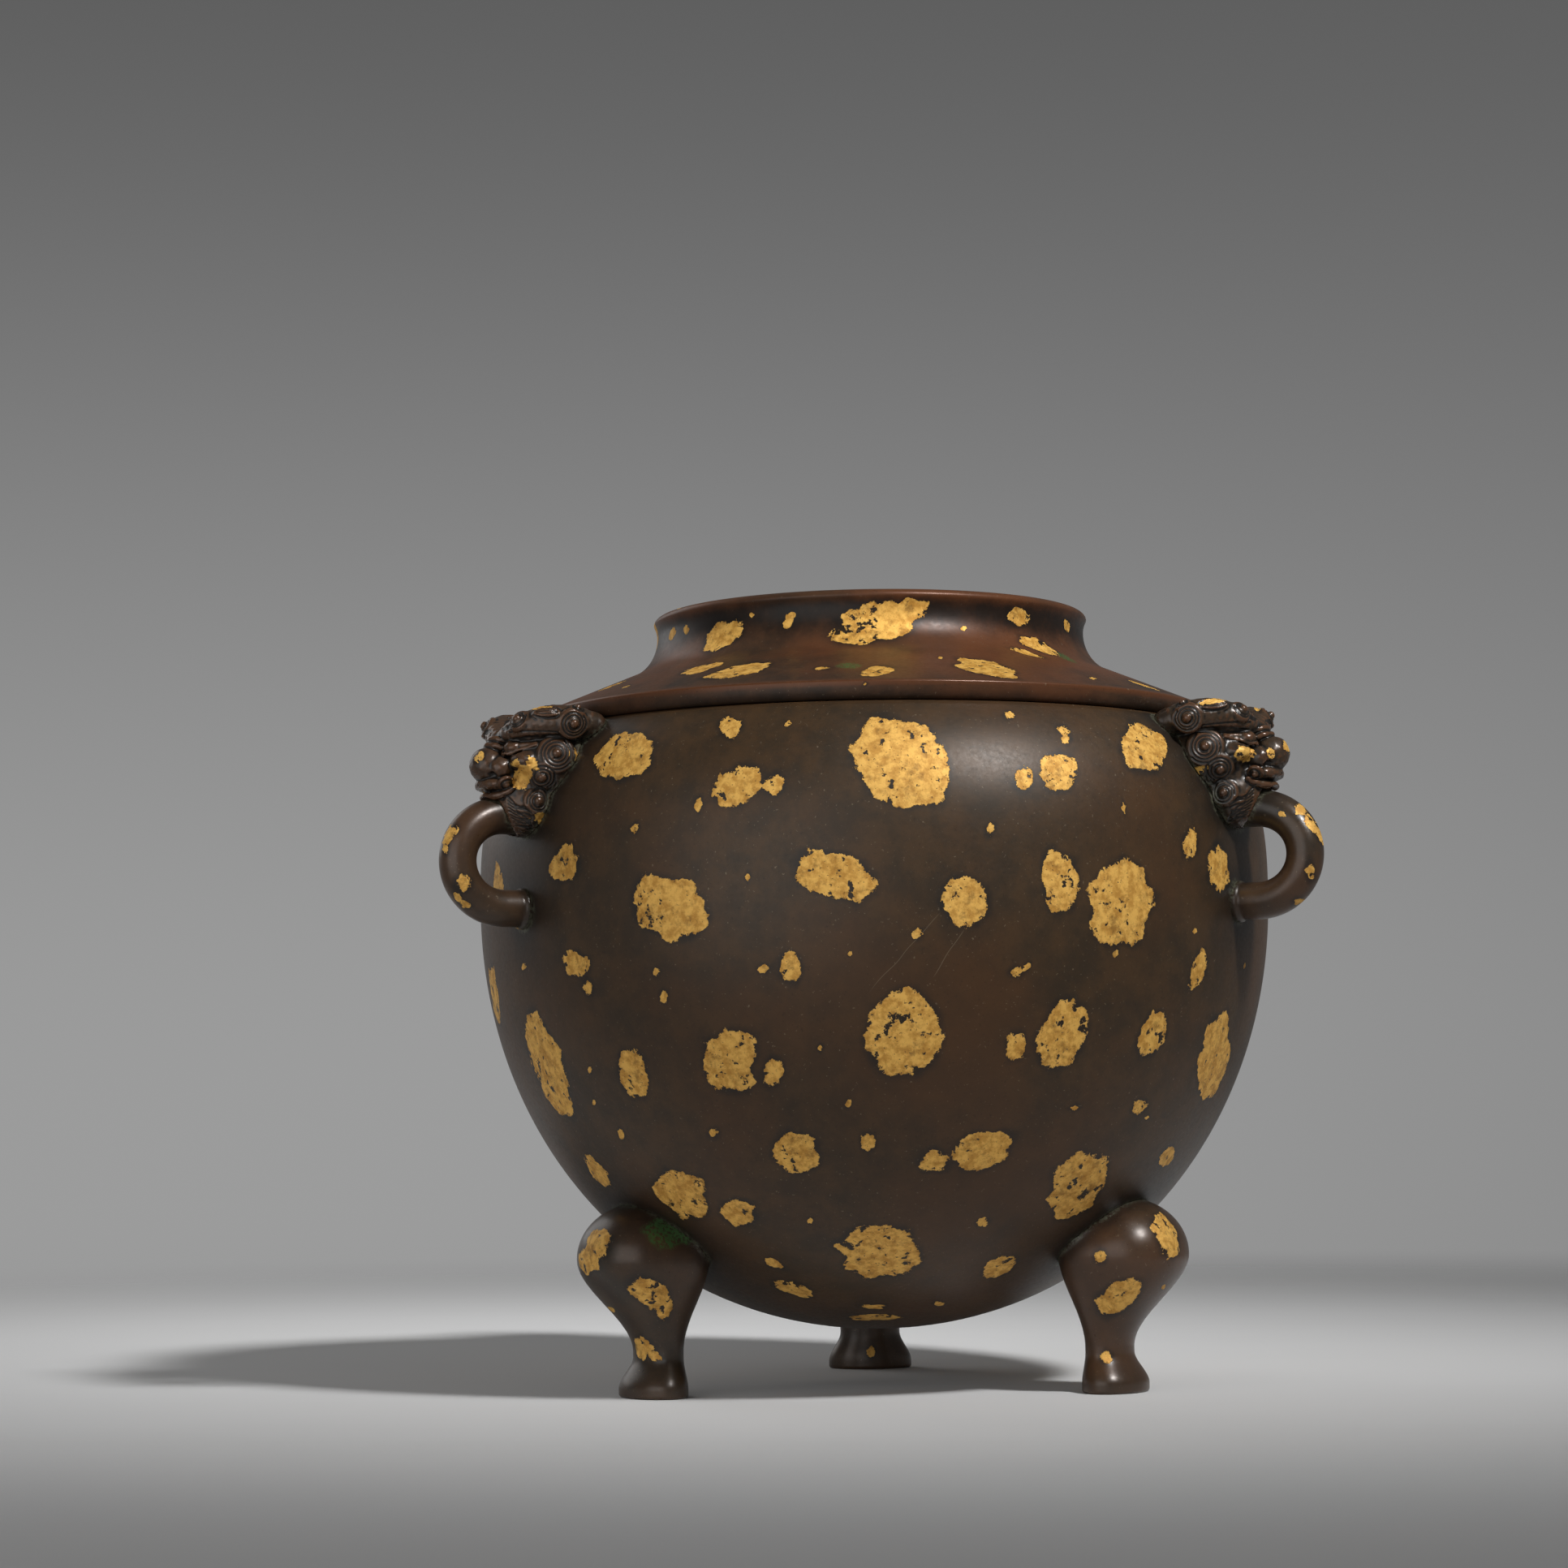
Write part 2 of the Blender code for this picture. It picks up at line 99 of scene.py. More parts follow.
class Field(Enum):
    """Values that the meshes carry for the shaders, in millimetres or as a share."""

    GOLD = "gold_mm"
    GREEN = "green_mm"
    JOINT = "joint_mm"
    RELIEF = "relief"


def link(name: str, data: bpy.types.ID) -> bpy.types.Object:
    """Make an object of some data and put it in the scene."""
    obj = bpy.data.objects.new(name, data)
    bpy.context.scene.collection.objects.link(obj)
    return obj


def turns(sides: int) -> Array:
    """Even angles round a full turn."""
    return 2 * math.pi * np.arange(sides) / sides


def circle(angles: Array) -> Array:
    """Points of the unit circle, one per row."""
    return np.stack([np.cos(angles), np.sin(angles)], 1)


def rotation(angle: float) -> Array:
    """The matrix that turns a flat offset by an angle."""
    return np.array([[math.cos(angle), -math.sin(angle)], [math.sin(angle), math.cos(angle)]])


def bell(offset: Array, width: float) -> Array:
    """A bell curve that is 1 where the offset is 0."""
    return np.exp(-((offset / width) ** 2))


class Socket:
    """An output of a shader node, with arithmetic that adds the nodes it needs."""

    def __init__(self, shader: "Shader", output: bpy.types.NodeSocket) -> None:
        """Wrap an output of a shader's node tree."""
        self.shader = shader
        self.output = output

    def _math(self, operation: str, first: Any, second: Any) -> "Socket":
        """Combine two operands with the node that suits what they carry.

        Args:
            operation: name of a Math, Vector Math or Mix operation
            first: left operand
            second: right operand

        Returns:
            The node's result.
        """
        if self.output.type == "RGBA":
            values = {0: 1.0, 6: first, 7: second}
            settings = {"data_type": "RGBA", "blend_type": operation}
            return self.shader.node("ShaderNodeMix", settings, values, 2)
        kind = "ShaderNodeVectorMath" if self.output.type == "VECTOR" else "ShaderNodeMath"
        return self.shader.node(kind, {"operation": operation}, {0: first, 1: second})

    def __add__(self, other: Any) -> "Socket":
        """Sum."""
        return self._math("ADD", self, other)

    __radd__ = __add__

    def __sub__(self, other: Any) -> "Socket":
        """Difference."""
        return self._math("SUBTRACT", self, other)

    def __rsub__(self, other: Any) -> "Socket":
        """Difference with the operands swapped."""
        return self._math("SUBTRACT", other, self)

    def __mul__(self, other: Any) -> "Socket":
        """Product."""
        return self._math("MULTIPLY", self, other)

    __rmul__ = __mul__

    def __or__(self, other: Any) -> "Socket":
        """The larger of two values."""
        return self._math("MAXIMUM", self, other)

    def dot(self, other: Array) -> "Socket":
        """Product of this vector and a direction, as a number."""
        values = {0: self, 1: tuple(float(part) for part in other)}
        return self.shader.node("ShaderNodeVectorMath", {"operation": "DOT_PRODUCT"}, values, "Value")

    def step(self, low: float, high: float) -> "Socket":
        """Rise smoothly from 0 to 1 between two values, or fall where low is the larger."""
        settings = {"interpolation_type": "SMOOTHSTEP"}
        return self.shader.node("ShaderNodeMapRange", settings, {0: self, 1: low, 2: high})

    def span(self, low: float, high: float) -> "Socket":
        """Spread a share from 0 to 1 evenly over a range of values."""
        return self * (high - low) + low

    def blend(self, first: Any, second: Any) -> "Socket":
        """Mix two colours or sockets by this share, which shows the first of them where it is 0."""
        settings = {"data_type": "RGBA", "clamp_factor": True}
        return self.shader.node("ShaderNodeMix", settings, {0: self, 6: first, 7: second}, 2)


@dataclass(frozen=True)
class Grain:
    """A cloudy noise around 0.5: size of its largest clouds, and number and strength of finer octaves."""

    size_mm: float
    detail: float = 3.0
    rough: float = 0.55


class Shader:
    """A node tree under construction."""

    def __init__(self, tree: bpy.types.NodeTree) -> None:
        """Start on a tree."""
        self.tree = tree

    @classmethod
    def principled(cls, name: str) -> tuple[bpy.types.Material, "Shader", bpy.types.NodeInputs]:
        """Start a material.

        Args:
            name: its name

        Returns:
            The material, its shader and the inputs of its Principled node.
        """
        material = bpy.data.materials.new(name)
        material.use_nodes = True
        return material, cls(material.node_tree), material.node_tree.nodes["Principled BSDF"].inputs

    def node(
        self, kind: str, settings: dict | None = None, sockets: dict | None = None, output: int | str = 0
    ) -> Socket:
        """Add a node of any type.

        Args:
            kind: type of the node
            settings: its own settings, set before its sockets
            sockets: values or links of its inputs, by index or name
            output: the output to hand on

        Returns:
            The chosen output.
        """
        node = self.tree.nodes.new(kind)
        for name, value in (settings or {}).items():
            setattr(node, name, value)
        for key, value in (sockets or {}).items():
            self.feed(node.inputs[key], value)
        return Socket(self, node.outputs[output])

    def feed(self, socket: bpy.types.NodeSocket, value: Any) -> None:
        """Link a socket to an input, or set the input's own value."""
        if isinstance(value, Socket):
            self.tree.links.new(value.output, socket)
        elif socket.type == "RGBA" and len(value) == 3:
            socket.default_value = (*value, 1.0)
        else:
            socket.default_value = value

    @cached_property
    def place(self) -> Socket:
        """The shaded point in the object's own coordinates."""
        return self.node("ShaderNodeTexCoord", output="Object")

    def carried(self, name: Field) -> Socket:
        """A value that the mesh carries."""
        return self.node("ShaderNodeAttribute", {"attribute_name": name.value}, output="Fac")

    def noise(self, grain: Grain) -> Socket:
        """A cloudy noise over the surface."""
        values = {
            "Vector": self.place,
            "Scale": 1 / (grain.size_mm * MM),
            "Detail": grain.detail,
            "Roughness": grain.rough,
        }
        return self.node("ShaderNodeTexNoise", {}, values)


@dataclass(frozen=True)
class Tint:
    """A colour laid over a finish where a value passes a band.

    Attributes:
        colour: the colour
        band: value where it starts to show, and value where it shows fully
        depth: its share where it shows fully
    """

    colour: Colour
    band: Band
    depth: float

    def over(self, colour: Socket, value: Socket, breaks: Socket | None = None) -> Socket:
        """Lay the colour over another.

        Args:
            colour: what lies under it
            value: what has to pass the band
            breaks: a share that breaks it up

        Returns:
            The tinted colour.
        """
        share = value.step(*self.band)
        if breaks is not None:
            share = share * breaks
        return (share * self.depth).blend(colour, self.colour)


@dataclass(frozen=True)
class Gilding:
    """The gold of the splashes: its colours, its leaf, its ragged edge, its holes and its stains.

    A band holds the values between which an effect sets in, and a depth is its full strength.
    """

    bright: Colour = (0.74, 0.430, 0.098)
    deep: Colour = (0.47, 0.232, 0.038)
    pit: Colour = (0.022, 0.014, 0.008)
    metallic: float = 0.32
    roughness: float = 0.60
    thickness: float = 0.07
    leaf: Grain = Grain(2.3, 5.0, 0.66)
    leaf_band: Band = (0.34, 0.62)
    leaf_bump: float = 0.16
    ragged: Grain = Grain(4.4, 6.0, 0.74)
    ragged_mm: float = 8.0
    edge_mm: Band = (0.08, -0.08)
    flocks: Grain = Grain(11.0, 2.0)
    flock_depth: float = 0.28
    holes: Grain = Grain(2.7, 4.0, 0.60)
    hole_band: Band = (0.602, 0.640)
    pricks: Grain = Grain(0.60, 1.0, 0.5)
    prick_band: Band = (0.70, 0.75)
    prick_depth: float = 0.7
    stains: Grain = Grain(3.6, 6.0, 0.72)
    stain: Tint = Tint((0.150, 0.066, 0.011), (0.50, 0.70), 0.62)
    halo: Tint = Tint((0.008, 0.0088, 0.0088), (4.3, 1.2), 0.66)
    halo_stray_mm: float = 3.4

    def masks(self, shader: Shader) -> tuple[Socket, Socket]:
        """Where the gold lies, and where it is pitted through.

        Args:
            shader: the tree under construction

        Returns:
            Gold and pits, each from 0 to 1.
        """
        ragged = (shader.noise(self.ragged) - 0.5) * self.ragged_mm
        gold = (shader.carried(Field.GOLD) + ragged).step(*self.edge_mm)
        flock = (shader.noise(self.flocks) - 0.5) * self.flock_depth
        holes = (shader.noise(self.holes) + flock).step(*self.hole_band)
        pricks = shader.noise(self.pricks).step(*self.prick_band)
        return gold, holes | pricks * self.prick_depth

    def colour(self, shader: Shader, leaf: Socket) -> Socket:
        """Colour of the gold, stained in places."""
        shade = leaf.step(*self.leaf_band).blend(self.deep, self.bright)
        return self.stain.over(shade, shader.noise(self.stains))


@dataclass(frozen=True)
class Hair:
    """A hairline scratch on the front of the globe, in millimetres.

    It lies in the plane of its two ends and a fixed place far in front of the globe, wanders a
    little, and sets in and fades between shares of its length.
    """

    first: Point
    last: Point
    front: Point = (-38.0, -983.0, 71.0)
    half_mm: float = 0.12
    wander: Grain = Grain(16.0, 1.0)
    stray_mm: float = 3.0
    start: Band = (-0.02, 0.1)
    stop: Band = (1.02, 0.8)
    depth: float = 0.55

    def mask(self, shader: Shader) -> Socket:
        """Where the scratch runs, from 0 to 1.

        Args:
            shader: the tree under construction

        Returns:
            The mask.
        """
        first, last, front = np.array(self.first), np.array(self.last), np.array(self.front)
        across = np.cross(last - first, front - first)
        across /= np.linalg.norm(across)
        along = (last - first) / np.dot(last - first, last - first)
        wander = (shader.noise(self.wander) - 0.5) * self.stray_mm
        side = shader.place.dot(across / MM) - float(across @ first) + wander
        run = shader.place.dot(along / MM) - float(along @ first)
        before = shader.place.dot(front - first).step(0.0, 1.0)
        ends = run.step(*self.start) * run.step(*self.stop) * before
        return side.step(-self.half_mm, 0.0) * side.step(self.half_mm, 0.0) * ends


@dataclass(frozen=True)
class Patina:
    """A bronze finish: brown patina, copper-red wear, dirt and green in the joints, painted shade round the
    joints and in the hollows, and gilding.

    A band holds the values between which an effect sets in, and a stray is how far the mottling
    moves its edge.
    """

    slot: Slot
    brown: Colour
    umber: Colour
    copper: Colour
    copper_share: float
    roughness: float
    gloss: float = 0.22
    metallic: float = 0.15
    # Broad darkening round what is fixed to the globe: partly painted shade of the legs, masks and loops,
    # partly darker patina there; none by default.
    smoke: Tint = Tint(SOOT_AND_SHADE, (19.0, 1.0), 0.0)
    hairs: tuple[Hair, ...] = ()
    gilding: Gilding = Gilding()
    grain: Grain = Grain(1.1, 3.0, 0.7)
    grain_rough: float = 0.11
    grain_bump: float = 0.022
    bump: float = 0.8
    clouds: Grain = Grain(60.0, 4.0, 0.6)
    cloud_band: Band = (0.40, 0.66)
    mottling: Grain = Grain(9.0, 5.0, 0.68)
    mottle_band: Band = (0.33, 0.68)
    worn_band: Band = (0.05, 0.6)
    worn_red: float = 0.8
    worn_polish: float = 0.08
    specks: Grain = Grain(0.75, 2.0, 0.6)
    sooty_specks: Tint = Tint(SOOT_AND_SHADE, (0.60, 0.78), 0.4)
    dusty_specks: Tint = Tint(DUST, (0.320, 0.260), 0.55)
    # Darkens low relief: painted shade in the collar's neck cove, and dirt with painted shade in the masks'
    # furrows.
    furrows: Tint = Tint(SOOT_AND_SHADE, (-0.10, -0.58), 0.92)
    furrow_stray: float = 0.5
    joints: Tint = Tint(SOOT_AND_SHADE, (6.0, 0.5), 0.6)
    joint_stray_mm: float = 4.0
    crust: Tint = Tint((0.095, 0.098, 0.066), (1.5, 0.2), 0.7)
    crust_breaks: Band = (0.40, 0.56)
    green: Tint = Tint((0.040, 0.105, 0.030), (0.4, -1.6), 0.85)
    green_breaks: Band = (0.36, 0.58)
    green_stray_mm: float = 7.0

    def material(self) -> bpy.types.Material:
        """Make the finish's material.

        Returns:
            A Principled material whose colour, roughness, metal and bump vary over the surface.
        """
        material, shader, inputs = Shader.principled(self.slot.value)
        inputs["Specular IOR Level"].default_value = self.gloss
        leaf = shader.noise(self.gilding.leaf)
        grain = shader.noise(self.grain)
        gold, pits = self.gilding.masks(shader)
        clean = gold * (1 - pits)
        bare, worn = self.bare_colour(shader)
        gilt = pits.blend(self.gilding.colour(shader, leaf), self.gilding.pit)
        rough = grain.span(self.roughness - self.grain_rough, self.roughness + self.grain_rough)
        rough = rough - worn * self.worn_polish
        relief = clean * self.gilding.thickness + leaf * clean * self.gilding.leaf_bump
        relief = relief + grain * self.grain_bump
        bump = {"Strength": self.bump, "Distance": MM, "Height": relief}
        values = {
            "Base Color": gold.blend(bare, gilt),
            "Roughness": rough + clean * (self.gilding.roughness - self.roughness),
            "Metallic": clean.span(self.metallic, self.gilding.metallic),
            "Normal": shader.node("ShaderNodeBump", {}, bump),
        }
        for name, value in values.items():
            shader.feed(inputs[name], value)
        return material

    def bare_colour(self, shader: Shader) -> tuple[Socket, Socket]:
        """Colour of the bare patina with its wear, halo, dirt, painted shade, green and scratches, and where
        it is worn.

        Args:
            shader: the tree under construction

        Returns:
            The colour, and the wear from 0 to 1.
        """
        clouds = shader.noise(self.clouds)
        mottle = shader.noise(self.mottling)
        specks = shader.noise(self.specks)
        relief = shader.carried(Field.RELIEF)
        stray = mottle - 0.5
        worn = relief.step(*self.worn_band)
        red = clouds.step(*self.cloud_band) * self.copper_share | worn * self.worn_red
        colour = mottle.step(*self.mottle_band).blend(self.umber, self.brown)
        colour = red.blend(colour, self.copper)
        colour = self.sooty_specks.over(colour, specks)
        colour = self.dusty_specks.over(colour, specks)
        rim = shader.carried(Field.GOLD) + mottle * self.gilding.halo_stray_mm
        colour = self.gilding.halo.over(colour, rim)
        # Painted shade in the neck cove, and dirt with painted shade in the mask furrows.
        colour = self.furrows.over(colour, relief + stray * self.furrow_stray)
        joint = shader.carried(Field.JOINT) + stray * self.joint_stray_mm
        # Painted shade round the fixed pieces, with darker patina, up to about 19 mm from them.
        colour = self.smoke.over(colour, joint)
        colour = self.joints.over(colour, joint)
        colour = self.crust.over(colour, joint, specks.step(*self.crust_breaks))
        damp = shader.carried(Field.GREEN) + stray * self.green_stray_mm
        colour = self.green.over(colour, damp, specks.step(*self.green_breaks))
        for hair in self.hairs:
            colour = (hair.mask(shader) * hair.depth).blend(colour, DUST)
        return colour, worn


GLOBE_PATINA = Patina(
    Slot.GLOBE,
    brown=(0.056, 0.030, 0.0122),
    umber=(0.032, 0.020, 0.0102),
    copper=(0.067, 0.029, 0.0100),
    copper_share=0.6,
    roughness=0.45,
    gloss=0.38,
    # The globe darkens up to 19 mm from its legs, masks and loops: partly painted shade, partly darker
    # patina.
    smoke=Tint(SOOT_AND_SHADE, (19.0, 1.0), 0.5),
    hairs=(
        Hair((12.5, -104.2, 119.3), (-5.8, -102.0, 100.7)),
        Hair((18.2, -102.9, 115.4), (9.9, -102.3, 103.8)),
    ),
)
COLLAR_PATINA = Patina(
    Slot.COLLAR, brown=(0.062, 0.031, 0.016), umber=(0.032, 0.020, 0.013), copper=(0.115, 0.041, 0.016),
    copper_share=0.85, roughness=0.38,
)
CAST_PATINA = Patina(
    Slot.CAST, brown=(0.054, 0.032, 0.0172), umber=(0.030, 0.021, 0.0135), copper=(0.092, 0.042, 0.0205),
    copper_share=0.5, roughness=0.32, gloss=0.45,
)
PIN_PATINA = Patina(
    Slot.PIN, brown=(0.075, 0.048, 0.028), umber=(0.045, 0.031, 0.021), copper=(0.12, 0.060, 0.028),
    copper_share=0.6, roughness=0.48,
)


@dataclass(frozen=True)
class PhotoCamera:
    """The camera that took the photograph, found from the outlines of the vessel and its feet."""

    frame_px: int = 1932
    focal_px: float = 4512.0
    sensor_mm: float = 36.0
    distance: float = 0.9837
    height: float = 0.0706
    pan: float = math.radians(-1.379)
    pitch: float = math.radians(5.227)
    roll: float = math.radians(-0.633)
    turn: float = math.radians(2.194)

    @property
    def location(self) -> Array:
        """Place of the camera."""
        side, back = math.sin(self.turn), math.cos(self.turn)
        return np.array([-self.distance * side, -self.distance * back, self.height])

    @property
    def axes(self) -> Array:
        """Right, up and forward directions, as rows."""
        heading = self.pan + self.turn
        reach, rise = math.cos(self.pitch), math.sin(self.pitch)
        forward = np.array([math.sin(heading) * reach, math.cos(heading) * reach, rise])
        right = np.array([math.cos(heading), -math.sin(heading), 0.0])
        up = np.cross(right, forward)
        lean, level = math.sin(self.roll), math.cos(self.roll)
        return np.array([level * right + lean * up, level * up - lean * right, forward])

    def project(self, points: Array) -> Array:
        """Where points fall in the photograph.

        Args:
            points: places, one per row

        Returns:
            Pixel columns and rows, one pair per row.
        """
        seen = (points - self.location) @ self.axes.T
        middle = self.frame_px / 2
        across = middle + self.focal_px * seen[:, 0] / seen[:, 2]
        down = middle - self.focal_px * seen[:, 1] / seen[:, 2]
        return np.stack([across, down], 1)

    def build(self) -> None:
        """Make the scene's camera."""
        data = bpy.data.cameras.new("photo_camera")
        data.sensor_fit = "HORIZONTAL"
        data.sensor_width = self.sensor_mm
        data.lens = self.sensor_mm * self.focal_px / self.frame_px
        camera = link("photo_camera", data)
        right, up, forward = (Vector(axis) for axis in self.axes)
        turn = Matrix((right, up, -forward)).transposed().to_4x4()
        camera.matrix_world = Matrix.Translation(Vector(self.location)) @ turn
        bpy.context.scene.camera = camera


@dataclass(frozen=True)
class Splash:
    """A splash as the photograph shows it: middle, size across and down, and their lean in degrees."""

    x_px: float
    y_px: float
    wide_px: float
    tall_px: float
    lean: float = 0.0


@dataclass(frozen=True)
class Patch:
    """A splash settled on a surface.

    Attributes:
        centre: its middle
        normal: the surface's direction there
        shape: two rows that take an offset from the middle to a circle of radius 1
        size_mm: mean half size
        lobes: strength and phase of each wave of its outline
    """

    centre: Array
    normal: Array
    shape: Array
    size_mm: float
    lobes: Array


@dataclass(frozen=True)
class Scatter:
    """How splashes fall out of the camera's sight: tries, largest half size and least turn away from it."""

    tries: int
    most_mm: float = 12.0
    least_turned: float = 0.1


@dataclass
class Gilder:
    """Settles splashes where the photograph shows them, and scatters others where it can't see.

    Attributes:
        bend: share of a splash's size that adds to the depth over which it colours a surface
        reach: how many of its sizes away a splash's edge is measured
        firm_mm: how much harder a small splash's edge is
        depth_cost: pixels that a metre of depth counts for in the search for a splash's place
        cell: side of the cells that each hold one place for a scattered splash
        room: how many of its sizes a scattered splash keeps clear of others
    """

    camera: PhotoCamera
    seed: int = 7
    waves: int = 9
    lobe_depth: float = 0.15
    least_edge: float = 0.45
    depth_mm: float = 2.5
    bend: float = 0.7
    reach: float = 3.0
    reach_mm: float = 10.0
    least_seen: float = 0.05
    least_facing: float = 0.34
    firm_mm: float = 1.3
    depth_cost: float = 250.0
    cell: float = 2.5 * MM
    sizes_mm: tuple[float, ...] = (1.1, 1.9, 3.8, 6.8, 10.0)
    size_shares: tuple[float, ...] = (0.36, 0.20, 0.18, 0.16, 0.10)
    size_range: Band = (0.8, 1.25)
    aspects: Band = (0.72, 1.3)
    room: float = 1.2
    room_mm: float = 1.0

    def __post_init__(self) -> None:
        """Start the random draws."""
        self.random = np.random.default_rng(self.seed)

    def lobes(self) -> Array:
        """Strengths and phases of the waves in one outline."""
        order = np.arange(2, 2 + self.waves)
        strength = self.random.normal(0.0, self.lobe_depth, self.waves) / order
        return np.stack([strength, self.random.uniform(0.0, 2 * math.pi, self.waves), order])

    @staticmethod
    def tangents(normal: Array) -> Array:
        """A level and a rising direction in the surface, as rows."""
        level = np.cross((0.0, 0.0, 1.0), normal)
        length = np.linalg.norm(level)
        level = level / length if length > UPRIGHT else np.array([1.0, 0.0, 0.0])
        return np.array([level, np.cross(normal, level)])

    def sight(self, points: Array, normals: Array) -> tuple[Array, Array, Array]:
        """Offsets and distances to the camera, and how far each point faces it."""
        towards = self.camera.location - points
        distance = np.linalg.norm(towards, axis=1)
        return towards, distance, np.einsum("ij,ij->i", normals, towards) / distance

    def settle(self, splash: Splash, points: Array, normals: Array, uneven: bool = False) -> Patch:
        """Put a splash of the photograph on the nearest point that faces the camera.

        Args:
            splash: what the photograph shows
            points: the surface's points
            normals: its directions
            uneven: the surface bends too much to give the splash a plane, so it faces the camera

        Returns:
            The settled splash.
        """
        towards, distance, facing = self.sight(points, normals)
        gaps = np.linalg.norm(self.camera.project(points) - (splash.x_px, splash.y_px), axis=1)
        gaps += (distance - distance.min()) * self.depth_cost
        nearest = int(np.argmin(np.where(facing > self.least_seen, gaps, np.inf)))
        normal = towards[nearest] / distance[nearest] if uneven else normals[nearest]
        tangents = self.tangents(normal)
        scale = self.camera.focal_px / distance[nearest]
        seen = scale * self.camera.axes[:2] @ tangents.T
        left, sizes, right = np.linalg.svd(seen)
        seen = left @ np.diag(np.maximum(sizes, scale * self.least_facing)) @ right
        half = np.array([splash.wide_px, splash.tall_px]) / 2
        shape = np.diag(1 / half) @ rotation(math.radians(splash.lean)) @ seen
        size = 1 / math.sqrt(abs(np.linalg.det(shape)))
        return Patch(points[nearest], normal, shape @ tangents, size / MM, self.lobes())

    def settled(self, rows: Splashes, points: Array, normals: Array, uneven: bool = False) -> list[Patch]:
        """Settle several splashes, one after the other."""
        return [self.settle(Splash(*row), points, normals, uneven) for row in rows]

    def scatter(self, rule: Scatter, points: Array, normals: Array, taken: list[Patch]) -> list[Patch]:
        """Scatter splashes over the part of a surface that the photograph doesn't show.

        Args:
            rule: how they fall
            points: the surface's points
            normals: its directions
            taken: splashes to keep clear of

        Returns:
            The new splashes.
        """
        hidden = np.flatnonzero(-self.sight(points, normals)[2] > rule.least_turned)
        cells = np.floor(points[hidden] / self.cell)
        hidden = hidden[np.unique(cells, axis=0, return_index=True)[1]]
        patches: list[Patch] = []
        sizes = self.random.choice(self.sizes_mm, rule.tries, p=self.size_shares)
        sizes = np.sort(sizes * self.random.uniform(*self.size_range, rule.tries))[::-1]
        for index, size in zip(self.random.choice(hidden, rule.tries), np.minimum(sizes, rule.most_mm)):
            aspect = self.random.uniform(*self.aspects)
            turn = self.random.uniform(0.0, math.pi)
            lobes = self.lobes()
            spread = [
                np.linalg.norm(other.centre - points[index]) / MM - other.size_mm * self.room
                for other in taken + patches
            ]
            if min(spread, default=FAR_MM) < size * self.room + self.room_mm:
                continue
            half = size * MM * np.array([aspect, 1 / aspect])
            shape = np.diag(1 / half) @ rotation(turn) @ self.tangents(normals[index])
            patches.append(Patch(points[index], normals[index], shape, size, lobes))
        return patches

    def distances(self, points: Array, normals: Array, patches: list[Patch]) -> Array:
        """Distance from each point to the nearest splash's edge, negative inside.

        Args:
            points: the surface's points
            normals: its directions
            patches: the splashes

        Returns:
            Distances in millimetres.
        """
        nearest = np.full(len(points), FAR_MM)
        for patch in patches:
            offset = points - patch.centre
            reach = (self.reach * patch.size_mm + self.reach_mm) * MM
            depth = (self.bend * patch.size_mm + self.depth_mm) * MM
            close = (np.abs(offset).max(1) < reach) & (normals @ patch.normal > 0.0)
            close &= np.abs(offset @ patch.normal) < depth
            flat = offset[close] @ patch.shape.T
            radius = np.linalg.norm(flat, axis=1)
            angle = np.arctan2(flat[:, 1], flat[:, 0])
            strength, phase, order = patch.lobes
            edge = 1.0 + np.cos(np.outer(angle, order) + phase) @ strength
            gap = (radius / np.maximum(edge, self.least_edge) - 1.0) * (patch.size_mm + self.firm_mm)
            nearest[close] = np.minimum(nearest[close], gap)
        return nearest


@dataclass
class Skin:
    """Points and faces of a mesh under construction."""

    points: Array
    quads: Array
    triangles: Array = field(default_factory=lambda: np.zeros((0, 3), int))
    layout: Array | None = None

    def turned(self, angle: float) -> "Skin":
        """The same mesh turned about the vessel's axis."""
        turn = np.eye(3)
        turn[:2, :2] = rotation(angle).T
        return Skin(self.points @ turn, self.quads, self.triangles, self.layout)

    def mesh(self, name: str, sharp: float = CRISP) -> bpy.types.Mesh:
        """Make the mesh.

        Args:
            name: its name
            sharp: edges that turn by more than this angle stay crisp

        Returns:
            The mesh, shaded smooth.
        """
        mesh = bpy.data.meshes.new(name)
        mesh.vertices.add(len(self.points))
        mesh.vertices.foreach_set("co", self.points.astype(np.float32).ravel())
        corners = np.concatenate([self.quads.ravel(), self.triangles.ravel()])
        sizes = np.repeat([4, 3], [len(self.quads), len(self.triangles)])
        mesh.loops.add(len(corners))
        mesh.loops.foreach_set("vertex_index", corners.astype(np.int32))
        mesh.polygons.add(len(sizes))
        mesh.polygons.foreach_set("loop_start", (np.cumsum(sizes) - sizes).astype(np.int32))
        mesh.update(calc_edges=True)
        mesh.shade_smooth()
        mesh.set_sharp_from_angle(angle=sharp)
        if self.layout is not None:
            spread = mesh.uv_layers.new(name="OFBake")
            spread.uv.foreach_set("vector", self.layout.astype(np.float32).ravel())
        return mesh

    @classmethod
    def applied(cls, blank: bpy.types.Object) -> "Skin":
        """Take a blank out of the scene and read its mesh, with its modifiers, as triangles.

        Args:
            blank: a mesh object

        Returns:
            Its skin.
        """
        graph = bpy.context.evaluated_depsgraph_get()
        mesh = bpy.data.meshes.new_from_object(blank.evaluated_get(graph))
        bpy.data.objects.remove(blank, do_unlink=True)
        mesh.calc_loop_triangles()
        points = np.zeros(len(mesh.vertices) * 3, np.float32)
        mesh.vertices.foreach_get("co", points)
        corners = np.zeros(len(mesh.loop_triangles) * 3, np.int32)
        mesh.loop_triangles.foreach_get("vertices", corners)
        return cls(points.reshape(-1, 3).astype(float), np.zeros((0, 4), int), corners.reshape(-1, 3))


